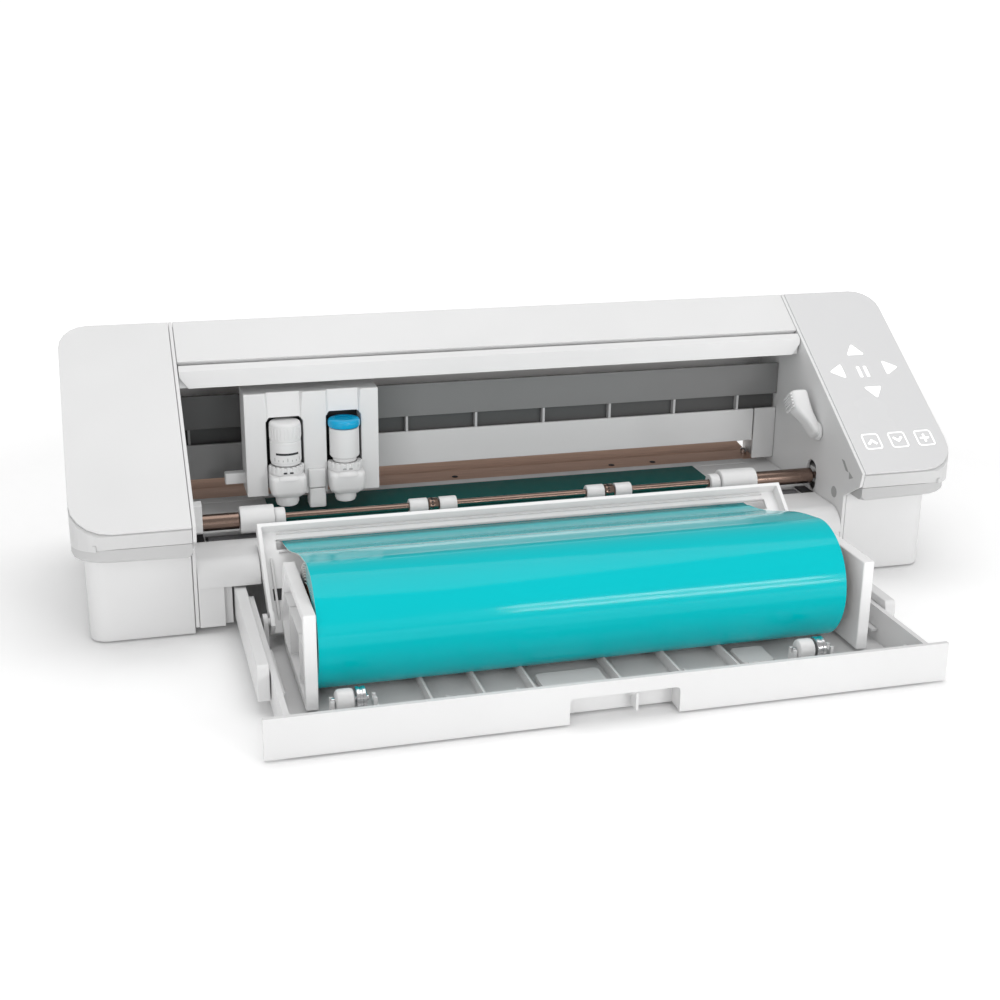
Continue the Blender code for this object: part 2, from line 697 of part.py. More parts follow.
def build_carriage():
    """The tool carriage with two tool bays, hung from a slider on the rear rod."""
    left, right = CARRIAGE_LEFT, CARRIAGE_LEFT + CARRIAGE_WIDTH
    body = box("carriage_body", (left, right), (CARRIAGE_FRONT_Y, CARRIAGE_BACK_Y),
               (CARRIAGE_BOTTOM_Z, CARRIAGE_TOP_Z), white_plastic(), bevel=2.0)
    apply_modifiers(body)
    bays = [box("bay", (TOOL_LEFT_X - 12.0, TOOL_LEFT_X + 12.0), (-5, 19), (50, 112.3)),
            box("bay", (TOOL_RIGHT_X - 11.5, TOOL_RIGHT_X + 11.5), (-5, 19), (50, 114.3))]
    cut(body, *bays)
    middle = (TOOL_LEFT_X + TOOL_RIGHT_X) / 2
    block = box("block", (middle - 5.0, middle + 6.5), (-1.0, 20.0), (50.0, 77.0))
    arm = box("arm", (middle - 20, middle + 20), (26.0, 46.0), (123.0, 127.0))
    slider = box("slider", (middle - 20, middle + 20), (42.5, 51.5), (108.0, 127.0))
    join(body, block, arm, slider)
    cut(body, rod("bore", 3.5 + GAP, "X", middle - 30, middle + 30, (ROD_Y, ROD_Z)))
    return body


def build_tools():
    """Two tools with their clamps; the right-hand one has a coloured cap."""
    carriage = joint_empty("carriage", (CARRIAGE_LEFT + CARRIAGE_WIDTH / 2, ROD_Y, ROD_Z))
    attach(build_carriage(), carriage)
    pale = material("tool_plastic", (0.82, 0.82, 0.82), 0.4)
    for side, x, radius, top, nozzle, tip in (("left", TOOL_LEFT_X, 10.0, 110.5, 7.6, 53.6),
                                              ("right", TOOL_RIGHT_X, 9.4, 101.6, 7.0, 53.8)):
        profile = [(0, top), (radius - 1.2, top), (radius, top - 1.5), (radius, 78.0), (nozzle, 77.0),
                   (nozzle, tip + 2.5), (nozzle * 0.55, tip), (0, tip)]
        tool = turned(f"tool_{side}", profile, "Z", (x, TOOL_Y), pale, 20)
        plunge = joint_empty(f"tool_{side}", (x, TOOL_Y, top), carriage)
        attach(tool, plunge)
        if side == "right":
            cap = turned("tool_right_cap", [(0, 110.4), (9.0, 110.4), (10.4, 109.0), (10.4, 103.5),
                                            (9.4, 102.0), (0, 102.0)], "Z", (x, TOOL_Y),
                         material("blue_cap", BLUE, 0.35), 20)
            attach(cap, plunge)
        clamp = box(f"tool_clamp_{side}", (x - 11.2, x + 11.2), (-11.5, 17.0), (60.5, 76.0), pale, bevel=2.5)
        apply_modifiers(clamp)
        room, pulled = nozzle + 0.8, TOOL_Y + CLAMP_TRAVEL
        bore = arc((x, TOOL_Y), room, 180, 360, 10) + arc((x, pulled), room, 0, 180, 10)
        cut(clamp, prism("bore", bore, "Z", 50, 90))
        attach(clamp, joint_empty(f"tool_clamp_{side}", (x, -11.5, 68.0), plunge))


def build_carriage_drive():
    """Rod, belt, pulleys and motor behind the bay."""
    rod("carriage_rod", 3.5, "X", -213.0, 213.0, (ROD_Y, ROD_Z), steel(), 16)
    belt_outer, belt_inner = 7.0, 6.0
    outline = arc((PULLEY_X, BELT_Y), belt_outer, -90, 90, 8)
    outline += arc((-PULLEY_X, BELT_Y), belt_outer, 90, 270, 8)
    hollow = arc((PULLEY_X, BELT_Y), belt_inner, -90, 90, 8)
    hollow += arc((-PULLEY_X, BELT_Y), belt_inner, 90, 270, 8)
    belt = prism("drive_belt", outline, "Z", BELT_Z - 2.5, BELT_Z + 2.5, black_rubber())
    cut(belt, prism("inside", hollow, "Z", BELT_Z - 5, BELT_Z + 5))
    for name, x in (("motor_pulley", PULLEY_X), ("idler_pulley", -PULLEY_X)):
        pulley = rod(name, PULLEY_RADIUS, "Z", BELT_Z - 3.0, BELT_Z + 3.0, (x, BELT_Y), steel(), 16)
        attach(pulley, joint_empty(name, (x, BELT_Y, BELT_Z)))
    motor = rod("carriage_motor", 13.0, "Z", 64.0, 99.0, (PULLEY_X, BELT_Y), steel(), 20)
    join(motor, rod("shaft", 1.6, "Z", 98.0, BELT_Z - 3.3, (PULLEY_X, BELT_Y)))


# ---------------------------------------------------------------- retractable cover

def build_cover():
    """Three leaves nested under the top panel, and a fourth that carries the lip bar."""
    half = CENTRE_HALF - 0.3
    first = SHELL + 0.5
    for i in range(3):
        below = first + i * LEAF_PITCH
        leaf = slope_strip(f"cover_leaf_{i + 1}", (-half, half), (PANEL_START + 0.6, PANEL_START + 0.6 + LEAF_LENGTH),
                           (below, below + LEAF_THICKNESS), white_plastic())
        attach(leaf, joint_empty(f"cover_leaf_{i + 1}", (0, *on_slope(PANEL_START, below))))
    below = first + 3 * LEAF_PITCH
    front = slope_strip("cover_front", (-half, half), (LIP_START - 3, PANEL_START + 0.6 + LEAF_LENGTH),
                        (below, below + LEAF_THICKNESS), white_plastic())
    top_back, top_front = on_slope(LIP_START + 5.2), on_slope(LIP_START)
    lip_outline = [top_back, top_front, (top_front[0] - 0.8, top_front[1] - 11.0),
                   (top_front[0] + 3.0, top_front[1] - 11.4), on_slope(LIP_START + 8, below + LEAF_THICKNESS),
                   on_slope(LIP_START + 8, below)]
    lip = prism("lip", lip_outline, "X", -half, half)
    join(front, lip)
    ends = []
    for sign in (-1, 1):
        corner = [(sign * (half + 2), top_front[1] - 1.0), (sign * (half - 7.0), top_front[1] - 13.0),
                  (sign * (half + 2), top_front[1] - 13.0)]
        ends.append(prism("end_cut", corner[::sign], "Y", top_front[0] - 20, top_front[0] + 2.5))
    cut(front, *ends)
    attach(front, joint_empty("cover_front", (0, *top_front)))


# ---------------------------------------------------------------- feeder drawer

def drawer_front():
    """The drawer's front with its finger notch and the recessed wall behind the notch."""
    half, notch = DRAWER_FRONT_HALF, 31.6
    notch_top, corner = 16.4, 2.5
    bottom, top = 1.3, DRAWER_TOP_Z
    outline = [(-half, bottom), (-notch, bottom)]
    outline += arc((-notch + corner, notch_top - corner), corner, 180, 90, 3)
    outline += arc((notch - corner, notch_top - corner), corner, 90, 0, 3)
    outline += [(notch, bottom), (half, bottom), (half, top), (-half, top)]
    front = prism("drawer", outline, "Y", DRAWER_FRONT_Y, DRAWER_FRONT_Y + 2.8, white_plastic())
    recess = box("recess", (-notch - 2.5, notch + 2.5), (DRAWER_FRONT_Y + 2.0, DRAWER_FRONT_Y + 14.0),
                 (3.0, 18.6))
    hollow = box("hollow", (-notch, notch), (DRAWER_FRONT_Y + 1.0, DRAWER_FRONT_Y + 12.0), (0.0, notch_top))
    return front, recess, hollow


def build_drawer():
    """Front, walls, ribbed floor and hinge ears of the feeder tray, in one moulding."""
    front, recess, hollow = drawer_front()
    floor_z = (1.8, 3.4)
    inner_y = (DRAWER_FRONT_Y + 2.0, DRAWER_BACK_Y)
    pieces = [recess, box("floor", (-DRAWER_HALF, DRAWER_HALF), inner_y, floor_z)]
    for sign in (-1, 1):
        low, high = sorted((sign * (DRAWER_HALF - 3.2), sign * DRAWER_HALF))
        pieces.append(box("wall", (low, high), inner_y, (floor_z[0], DRAWER_TOP_Z - 0.6)))
        hinge_y, hinge_z = on_frame(FRAME_HINGE_ALONG, 0.0)
        ear = arc((hinge_y, hinge_z), 5.0, 0, 180, 6) + [(hinge_y - 8.0, 3.0), (hinge_y + 8.0, 3.0)]
        low, high = sorted((sign * 176.6, sign * 179.2))
        pieces.append(prism("ear", ear, "X", low, high))
    for x in (-130.0, -90.0, -50.0, 50.0, 90.0, 130.0):
        pieces.append(box("rib", (x - 1.0, x + 1.0), (DRAWER_FRONT_Y + 2.0, -206.0), (3.0, 7.4)))
    y, z = FEED_ROLLER
    for start in FEED_ROLLER_STARTS:
        for x in (start - 2.8, start + 20.4):
            pieces.append(box("post", (x, x + 2.0), (y - 3.5, y + 3.5), (3.0, z + 1.0)))
    back_lip = box("back_lip", (-DRAWER_HALF, DRAWER_HALF), (DRAWER_BACK_Y - 2.5, DRAWER_BACK_Y), (3.0, 9.0))
    pieces.append(back_lip)
    drawer = join(front, *pieces)
    seats = [rod("seat", 1.6 + GAP, "X", start - 6, start + 24, (y, z), steps=12)
             for start in FEED_ROLLER_STARTS]
    cut(drawer, hollow, *seats)
    slide = joint_empty("drawer", (0, DRAWER_FRONT_Y, 13.0))
    attach(drawer, slide)
    return slide


def build_rails():
    """Telescopic side rails between the chassis cheeks and the drawer."""
    outline = [(-190.0, 7.5), (-50.0, 7.5), (-50.0, 28.8), (-188.5, 28.8), (-190.0, 25.0)]
    for side, sign in (("left", -1), ("right", 1)):
        low, high = sorted((sign * (DRAWER_HALF + 0.6), sign * (OPENING_HALF - 1.2)))
        rail = prism(f"rail_{side}", outline, "X", low, high, white_plastic())
        attach(rail, joint_empty(f"rail_{side}", (sign * 188, -190.0, 18.0)))


def on_frame(along, above):
    """(y, z) of a point in the guide frame's own plane."""
    run, rise = math.cos(FRAME_ANGLE), math.sin(FRAME_ANGLE)
    return FRAME_FOOT[0] + along * run - above * rise, FRAME_FOOT[1] + along * rise + above * run


def frame_block(name, x, along, above, surface=None):
    corners = [on_frame(a, b) for a, b in ((along[0], above[0]), (along[1], above[0]),
                                           (along[1], above[1]), (along[0], above[1]))]
    return prism(name, corners, "X", x[0], x[1], surface)


def build_guide_frame(slide):
    """The tilting media guide: a rimmed panel with a long slot, hinged low in the drawer."""
    depth, panel, rim = 9.8, 2.4, 2.6
    hinge = on_frame(FRAME_HINGE_ALONG, 0.0)
    frame = frame_block("guide_frame", (-FRAME_HALF, FRAME_HALF), (8.0, FRAME_LENGTH), (-depth, 0.0),
                        white_plastic())
    tray = frame_block("tray", (-FRAME_HALF + rim, FRAME_HALF - rim), (0.0, FRAME_LENGTH - rim),
                       (-depth + panel, 5.0))
    slot = frame_block("slot", (-164.0, 164.0), (65.5, 73.0), (-20.0, 5.0))
    cut(frame, tray, slot)
    hooks = []
    for sign in (-1, 1):
        low, high = sorted((sign * (FRAME_HALF - rim), sign * FRAME_HALF))
        along = (FRAME_HINGE_ALONG - 5, FRAME_HINGE_ALONG + 5)
        hooks.append(frame_block("hook", (low, high), along, (-4.0, 3.2)))
        low, high = sorted((sign * (FRAME_HALF - 1), sign * (FRAME_HALF + 1.3)))
        hooks.append(rod("pin", 2.2, "X", low, high, hinge, steps=12))
    join(frame, *hooks)
    attach(frame, joint_empty("guide_frame", (0, *hinge), slide))


def build_side_plates(slide):
    """Folding end plates that keep the roll in place: a rim round a thin web.

    The back edge leans forward, so that the guide frame can fold over while the plates lie down.
    """
    back = [(PLATE_BACK_Y - 14.6, PLATE_BOTTOM_Z), (PLATE_BACK_Y, PLATE_BOTTOM_Z + 11.6),
            (PLATE_BACK_Y - 0.1, PLATE_BOTTOM_Z + 18.7), (PLATE_BACK_Y - 17.2, PLATE_TOP_Z)]
    outline = [(PLATE_FRONT_Y, PLATE_BOTTOM_Z)] + back + [(PLATE_FRONT_Y, PLATE_TOP_Z)]
    rim = 5.0
    for side, sign in (("left", -1), ("right", 1)):
        inner, outer = sign * PLATE_INNER, sign * (PLATE_INNER + PLATE_THICKNESS)
        low, high = sorted((inner, outer))
        plate = prism(f"side_plate_{side}", outline, "X", low, high, white_plastic())
        web_inner = sign * (PLATE_INNER + 2.0)
        low, high = sorted((web_inner, outer + sign * 3))
        cut(plate, prism("pocket", inset(outline, rim), "X", low, high))
        hinge = joint_empty(f"side_plate_{side}", (sign * (PLATE_INNER + 3.5), -150.0, 8.8), slide)
        attach(plate, hinge)


def build_feed_rollers(slide):
    """White rollers with steel rings at the front of the drawer."""
    knob, ring = 6.2, 5.6
    for side, start in zip(("left", "right"), FEED_ROLLER_STARTS):
        profile = [(0, start + 22), (1.6, start + 22), (1.6, start + 18.4), (ring, start + 18.4),
                   (ring, start + 11.4), (4.0, start + 11.4), (4.0, start + 10.2), (knob - 1, start + 10.2),
                   (knob, start + 9.2), (knob, start + 1), (knob - 1, start), (1.6, start), (1.6, start - 3),
                   (0, start - 3)]
        roller = turned(f"feed_roller_{side}", profile, "X", FEED_ROLLER, steel(), 20)
        attach(roller, joint_empty(f"feed_roller_{side}", (start + 9, *FEED_ROLLER), slide))


def build_media(slide):
    """A roll of vinyl film and the web that leads from it, through the guide, over the bed."""
    teal = material("vinyl_film", TEAL, 0.15)
    lift = joint_empty("roll_unload", (0, ROLL_Y, ROLL_Z), slide)
    spin = joint_empty("vinyl_roll", (0, ROLL_Y, ROLL_Z), lift)
    roll_profile = [(ROLL_CORE, MEDIA_RIGHT), (ROLL_RADIUS, MEDIA_RIGHT), (ROLL_RADIUS, MEDIA_LEFT),
                    (ROLL_CORE, MEDIA_LEFT), (ROLL_CORE, MEDIA_RIGHT)]
    attach(turned("vinyl_roll", roll_profile, "X", (ROLL_Y, ROLL_Z), teal, 32), spin)
    slot_y, slot_z = on_frame(69.4, -7.4)
    reach = math.hypot(ROLL_Y - slot_y, ROLL_Z - slot_z)
    outer = ROLL_RADIUS + GAP
    toward = math.atan2(ROLL_Z - slot_z, ROLL_Y - slot_y)
    leave = toward - math.asin(outer / reach)
    tangent = math.sqrt(reach ** 2 - outer ** 2)
    touch = (slot_y + tangent * math.cos(leave), slot_z + tangent * math.sin(leave))
    start_angle = math.degrees(math.atan2(touch[1] - ROLL_Z, touch[0] - ROLL_Y))
    path = [(39.0, WEB_Z), (-36.0, WEB_Z), (-46.0, WEB_Z + 1.2), (slot_y, slot_z)]
    path += arc((ROLL_Y, ROLL_Z), outer, start_angle, 110, 3)
    web = strip_outline(path, -WEB_THICKNESS)
    attach(prism("vinyl_web", web, "X", MEDIA_LEFT, MEDIA_RIGHT, teal), lift)


def main():
    start_scene()
    build_housings()
    build_feet()
    build_power_button()
    build_apron()
    build_chassis()
    build_platen()
    build_top_panel()
    build_rear_cover()
    build_back_panel()
    build_drive_train()
    build_main_board()
    build_pinch_rollers()
    build_roller_lever()
    build_tools()
    build_carriage_drive()
    build_cover()
    slide = build_drawer()
    build_rails()
    build_guide_frame(slide)
    build_side_plates(slide)
    build_feed_rollers(slide)
    build_media(slide)
    set_on_origin()


main()
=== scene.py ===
"""Looks of the desktop vinyl cutter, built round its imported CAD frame.

Shapes are written in millimetres from the middle of the machine's body (+X right, front -Y, +Z up).
TO_FRAME turns them into metres in the CAD's frame where a mesh is made.  Every piece rides on a CAD
body, so that it follows the poses.
"""

import math

import bmesh
import bpy
from mathutils import Matrix, Vector

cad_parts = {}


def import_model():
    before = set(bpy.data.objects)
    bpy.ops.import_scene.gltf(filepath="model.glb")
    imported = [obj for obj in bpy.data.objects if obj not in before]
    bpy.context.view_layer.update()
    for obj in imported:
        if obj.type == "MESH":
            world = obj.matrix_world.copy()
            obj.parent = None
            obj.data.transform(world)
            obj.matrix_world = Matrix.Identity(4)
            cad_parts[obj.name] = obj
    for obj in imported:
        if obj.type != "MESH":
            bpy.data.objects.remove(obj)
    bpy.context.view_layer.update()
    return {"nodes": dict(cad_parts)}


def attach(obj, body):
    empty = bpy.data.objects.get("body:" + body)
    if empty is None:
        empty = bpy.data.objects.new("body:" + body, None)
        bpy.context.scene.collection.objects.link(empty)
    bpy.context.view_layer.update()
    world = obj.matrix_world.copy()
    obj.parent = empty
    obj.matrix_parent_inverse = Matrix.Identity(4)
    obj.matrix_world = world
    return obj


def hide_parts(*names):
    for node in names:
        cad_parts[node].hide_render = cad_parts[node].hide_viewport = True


MM = 0.001
SET_BACK = 74.1                  # from the CAD's origin back to the middle of the body
TO_FRAME = Matrix.Scale(MM, 4) @ Matrix.Translation((0.0, SET_BACK, 0.0))

# Slope of the top faces, from the front edge to the ridge
EDGE_Y, EDGE_Z = -97.5, 78.2
SLOPE = math.atan2(170.0 - 78.2, 40.7 + 97.5)

# Camera
CAMERA_PLACE = (-261.8, -932.5, 377.4)
CAMERA_LENS = 54.02
CAMERA_YAW, CAMERA_PITCH, CAMERA_ROLL = (math.radians(a) for a in (15.44, 18.95, 0.607))

# Places shared by several pieces
BAY_HALF = 213.8
SHAFT = (-26.9, 55.1)
BED_Z = 45.2
TOOLS = {"left": (-148.5, 1.0), "right": (-110.0, 1.0)}
FEED_ROLLER = (-211.5, 14.2)
FRAME_PIVOT, FRAME_ANGLE = (-120.0, 12.5), math.radians(38.0)
ROLL, ROLL_RADIUS = (-164.9, 39.2), 35.3
FILM_LEFT, FILM_RIGHT = -159.4, 152.0
SHEET = 0.45                     # thickness of the film with its backing
WRAP = 190                       # degrees of the roll that the web covers
RIDGE_Y, HEIGHT, BACK_Y = 40.7, 170.0, 97.5

shades = {}


# ---------------------------------------------------------------- shader nodes

class Graph:
    """A short way to write a node material."""

    def __init__(self, name):
        self.material = bpy.data.materials.new(name)
        self.material.use_nodes = True
        self.nodes = self.material.node_tree.nodes
        self.links = self.material.node_tree.links
        self.shader = self.nodes["Principled BSDF"]
        self.place = self.add("ShaderNodeTexCoord").outputs["Object"]

    def add(self, kind, **values):
        node = self.nodes.new(kind)
        for key, value in values.items():
            setattr(node, key, value)
        return node

    def feed(self, node, socket, source):
        if isinstance(source, bpy.types.NodeSocket):
            self.links.new(source, node.inputs[socket])
        else:
            node.inputs[socket].default_value = source

    def stretch(self, scale):
        node = self.add("ShaderNodeMapping")
        self.feed(node, "Vector", self.place)
        node.inputs["Scale"].default_value = scale
        return node.outputs["Vector"]

    def noise(self, scale, detail=2.0, vector=None, roughness=0.5):
        node = self.add("ShaderNodeTexNoise")
        self.feed(node, "Vector", vector or self.place)
        node.inputs["Scale"].default_value = scale
        node.inputs["Detail"].default_value = detail
        node.inputs["Roughness"].default_value = roughness
        return node.outputs["Fac"]

    def spread(self, source, low, high, start=0.3, end=0.7):
        node = self.add("ShaderNodeMapRange")
        for socket, value in zip(("Value", "From Min", "From Max", "To Min", "To Max"),
                                 (source, start, end, low, high)):
            self.feed(node, socket, value)
        return node.outputs["Result"]

    def math(self, operation, first, second):
        node = self.add("ShaderNodeMath", operation=operation)
        self.feed(node, 0, first)
        self.feed(node, 1, second)
        return node.outputs["Value"]

    def mix(self, share, first, second, blend="MIX"):
        node = self.add("ShaderNodeMix", data_type="RGBA", blend_type=blend)
        for socket, value in ((0, share), (6, first), (7, second)):
            self.feed(node, socket, value if isinstance(value, (float, bpy.types.NodeSocket)) else (*value, 1.0))
        return node.outputs[2]

    def bump(self, height, strength, distance, normal=None):
        node = self.add("ShaderNodeBump")
        self.feed(node, "Height", height)
        node.inputs["Strength"].default_value = strength
        node.inputs["Distance"].default_value = distance
        if normal:
            self.feed(node, "Normal", normal)
        return node.outputs["Normal"]

    def edges(self, radius):
        """How near a point is to a sharp edge, from 0 to 1."""
        rounded = self.add("ShaderNodeBevel", samples=4)
        rounded.inputs["Radius"].default_value = radius
        flat = self.add("ShaderNodeNewGeometry")
        dot = self.add("ShaderNodeVectorMath", operation="DOT_PRODUCT")
        self.feed(dot, 0, rounded.outputs["Normal"])
        self.feed(dot, 1, flat.outputs["Normal"])
        return self.spread(dot.outputs["Value"], 1.0, 0.0, 0.75, 0.99)

    def crevices(self, distance, darkest):
        """Painted shade from ambient occlusion: 1 in the open, down to darkest in corners and seams."""
        node = self.add("ShaderNodeAmbientOcclusion", samples=6)
        node.inputs["Distance"].default_value = distance
        return self.spread(node.outputs["AO"], darkest, 1.0, 0.15, 0.85)

    def output(self, **sockets):
        for socket, value in sockets.items():
            name = socket.replace("_", " ")
            if isinstance(value, tuple):
                value = (*value, 1.0)
            self.feed(self.shader, name, value)
        return self.material


def shade(name, make, *arguments):
    if name not in shades:
        shades[name] = make(name, *arguments)
    return shades[name]


def moulded(name, colour, roughness=0.42, grain=0.35, dust=0.06):
    """Injection-moulded plastic: fine spark-eroded grain, uneven sheen, painted shade in seams and corners, polished
    edges.
    """
    graph = Graph(name)
    broad = graph.noise(7.0, 3.0)
    tint = graph.mix(graph.spread(broad, 0.0, 1.0), colour, tuple(c * (1 - dust) for c in colour))
    worn = graph.mix(graph.math("MULTIPLY", graph.edges(0.0006), 0.35), tint, tuple(min(1, c * 1.12) for c in colour))
    # Painted shade: the colour darkens in corners and seams, where ambient occlusion finds them.
    crevice_shade = graph.crevices(0.004, 0.72)
    shaded = graph.mix(1.0, worn, graph.mix(crevice_shade, (0.62, 0.62, 0.62), (1.0, 1.0, 1.0)), "MULTIPLY")
    pebble = graph.noise(2600.0, 2.0, roughness=0.6)
    sheen = graph.math("ADD", graph.spread(graph.noise(38.0, 4.0), -0.05, 0.07), roughness)
    return graph.output(Base_Color=shaded, Roughness=sheen, IOR=1.46,
                        Normal=graph.bump(pebble, grain, 0.00004))


def bay_plastic(name, colour):
    """Moulded plastic of the bay's far wall, with painted shade that darkens it towards the far left."""
    graph = Graph(name)
    across = graph.add("ShaderNodeSeparateXYZ")
    graph.feed(across, "Vector", graph.place)
    # Painted shade: the colour falls to 30 % towards the wall's left end, between x = -0.05 and -0.19 m.
    dim = graph.spread(across.outputs["X"], 0.30, 1.0, -0.19, -0.05)
    shade_and_mottle = graph.math("ADD", dim, graph.spread(graph.noise(12.0, 3.0), -0.05, 0.05))
    tint = graph.mix(shade_and_mottle, (0.0, 0.0, 0.0), colour)
    pebble = graph.noise(2200.0, 2.0, roughness=0.6)
    return graph.output(Base_Color=tint, Roughness=0.5, Normal=graph.bump(pebble, 0.4, 0.00005))


def glossy_panel(name, colour):
    """Back-painted touch panel under a clear satin coat."""
    graph = Graph(name)
    wipes = graph.noise(14.0, 3.0)
    tint = graph.mix(graph.spread(graph.noise(5.0), 0.0, 1.0), colour, tuple(c * 0.97 for c in colour))
    return graph.output(Base_Color=tint, Roughness=graph.spread(wipes, 0.34, 0.4), Coat_Weight=0.2,
                        Coat_Roughness=graph.spread(wipes, 0.2, 0.3),
                        Normal=graph.bump(graph.noise(1500.0), 0.06, 0.00003))


def metal(name, colour, roughness=0.22, stretch=(1.0, 60.0, 60.0), streak=0.12, metallic=1.0):
    """Turned or drawn metal with fine streaks across the light."""
    graph = Graph(name)
    lines = graph.noise(90.0, 4.0, graph.stretch(stretch))
    tint = graph.mix(graph.spread(lines, 0.0, 1.0), colour, tuple(c * (1 - streak * 2) for c in colour))
    worn = graph.mix(graph.math("MULTIPLY", graph.edges(0.0004), 0.5), tint, tuple(min(1, c * 1.5) for c in colour))
    return graph.output(Base_Color=worn, Metallic=metallic,
                        Roughness=graph.spread(lines, roughness, roughness + streak),
                        Normal=graph.bump(lines, 0.12, 0.00002))


def film(name, colour):
    """Glossy self-adhesive film, with painted shade where it lies inside the bay."""
    graph = Graph(name)
    ripple = graph.noise(9.0, 3.0, graph.stretch((0.35, 1.6, 1.6)))
    orange_peel = graph.noise(700.0, 2.0)
    across = graph.add("ShaderNodeSeparateXYZ")
    graph.feed(across, "Vector", graph.place)
    # Painted shade: the film darkens to dark green from y = 0.03 to 0.05 m, where it lies in the bay.
    bay_shade = graph.spread(across.outputs["Y"], 0.0, 0.88, 0.030, 0.050)
    tint = graph.mix(graph.spread(graph.noise(4.0), 0.0, 1.0), colour, tuple(c * 0.95 for c in colour))
    tint = graph.mix(bay_shade, tint, (0.004, 0.05, 0.035))
    bounced = graph.add("ShaderNodeLightPath").outputs["Is Diffuse Ray"]
    tint = graph.mix(bounced, tint, (0.55, 0.58, 0.58))
    bent = graph.bump(ripple, 0.35, 0.0012)
    return graph.output(Base_Color=tint, Roughness=graph.spread(graph.noise(30.0, 3.0), 0.10, 0.15),
                        Specular_IOR_Level=0.13, Coat_Weight=0.1, Coat_Roughness=0.05,
                        Normal=graph.bump(orange_peel, 0.05, 0.00003, bent))


def paper(name, colour, roughness=0.8):
    """Fibrous paper or card."""
    graph = Graph(name)
    fibre = graph.noise(900.0, 4.0, graph.stretch((0.2, 1.0, 1.0)))
    tint = graph.mix(graph.spread(fibre, 0.0, 1.0), colour, tuple(c * 0.8 for c in colour))
    return graph.output(Base_Color=tint, Roughness=roughness, Normal=graph.bump(fibre, 0.4, 0.00006))


def rubber(name, colour):
    graph = Graph(name)
    speck = graph.noise(1400.0, 3.0)
    tint = graph.mix(graph.spread(graph.noise(60.0, 3.0), 0.0, 1.0), colour, tuple(c * 2.2 for c in colour))
    return graph.output(Base_Color=tint, Roughness=graph.spread(speck, 0.7, 0.92),
                        Normal=graph.bump(speck, 0.5, 0.00008))


def grit(name, colour):
    """Fine abrasive coating of the drive roller."""
    graph = Graph(name)
    grain = graph.noise(3500.0, 2.0)
    tint = graph.mix(graph.spread(grain, 0.0, 1.0), colour, tuple(c * 2.5 for c in colour))
    return graph.output(Base_Color=tint, Metallic=0.4, Roughness=0.75, Normal=graph.bump(grain, 0.8, 0.0001))


def circuit(name, colour):
    """Solder-resist green with faint tracks."""
    graph = Graph(name)
    tracks = graph.add("ShaderNodeTexBrick")
    graph.feed(tracks, "Vector", graph.place)
    tracks.inputs["Scale"].default_value = 160.0
    tint = graph.mix(graph.spread(tracks.outputs["Fac"], 0.0, 0.5), colour, tuple(c * 2.4 for c in colour))
    return graph.output(Base_Color=tint, Roughness=0.35, Normal=graph.bump(tracks.outputs["Fac"], 0.3, 0.0001))


def lit_print(name, colour):
    """White print with a light behind it."""
    graph = Graph(name)
    glow = graph.spread(graph.noise(300.0), 0.5, 0.62)
    return graph.output(Base_Color=colour, Roughness=0.3, Emission_Color=colour, Emission_Strength=glow)


def white():
    return shade("white_plastic", moulded, (0.80, 0.80, 0.80))


def bright():
    return shade("tray_plastic", moulded, (0.80, 0.80, 0.80), 0.4, 0.25)


def inner():
    return shade("inner_plastic", moulded, (0.42, 0.42, 0.42), 0.5, 0.4)


def pale():
    return shade("tool_plastic", moulded, (0.82, 0.82, 0.82), 0.33, 0.12, 0.03)


# Near-black: the own colour of printed marks and screws, and painted shade in the tool bays, vents, openings and
# bed-end gaps.
def dark():
    return shade("black_and_painted_shade", moulded, (0.03, 0.03, 0.032), 0.6, 0.4)


def bronze():
    return shade("bronze_metal", metal, (0.27, 0.19, 0.155), 0.2)


def bronze_plate():
    return shade("bronze_sheet", metal, (0.72, 0.46, 0.34), 0.38, (0.4, 30.0, 30.0), 0.14, 0.55)


def steel():
    return shade("bright_steel", metal, (0.72, 0.72, 0.73), 0.16)


def teal():
    return shade("teal_film", film, (0.0, 0.56, 0.61))


# ---------------------------------------------------------------- meshes

def add_piece(name, bm, body, surface, soft=0.0, smooth=40.0, segments=2):
    """An object from a bmesh in millimetres, softened, shaded and riding on its body."""
    bmesh.ops.recalc_face_normals(bm, faces=bm.faces)
    bmesh.ops.transform(bm, matrix=TO_FRAME, verts=bm.verts)
    mesh = bpy.data.meshes.new(name)
    bm.to_mesh(mesh)
    bm.free()
    obj = bpy.data.objects.new(name, mesh)
    bpy.context.scene.collection.objects.link(obj)
    if surface:
        mesh.materials.append(surface)
    mesh.shade_smooth()
    mesh.set_sharp_from_angle(angle=math.radians(smooth))
    if soft:
        soften(obj, soft, segments)
    if body:
        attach(obj, body)
    return obj


def soften(obj, width, segments=2, angle=35.0):
    """Rounded edges that catch the light."""
    rounded = obj.modifiers.new("rounded", "BEVEL")
    rounded.width = width * MM
    rounded.segments = segments
    rounded.limit_method = "ANGLE"
    rounded.angle_limit = math.radians(angle)
    rounded.miter_outer = "MITER_ARC"
    even = obj.modifiers.new("even", "WEIGHTED_NORMAL")
    even.keep_sharp = False
    even.weight = 60


def arc(centre, radius, start, end, steps):
    across, along = radius if isinstance(radius, tuple) else (radius, radius)
    turns = [math.radians(start + (end - start) * i / steps) for i in range(steps + 1)]
    return [(centre[0] + across * math.cos(t), centre[1] + along * math.sin(t)) for t in turns]


def rounded_outline(low, high, radius, steps=6):
    """A rectangle with round corners, counter-clockwise."""
    (x0, y0), (x1, y1) = low, high
    corners = ((x1 - radius, y0 + radius, -90), (x1 - radius, y1 - radius, 0),
               (x0 + radius, y1 - radius, 90), (x0 + radius, y0 + radius, 180))
    return [point for x, y, start in corners for point in arc((x, y), radius, start, start + 90, steps)]


def spot(axis, a, b, along):
    """The point (a, b) of an outline at a station along its axis."""
    return {"X": (along, a, b), "Y": (a, along, b), "Z": (a, b, along)}[axis]


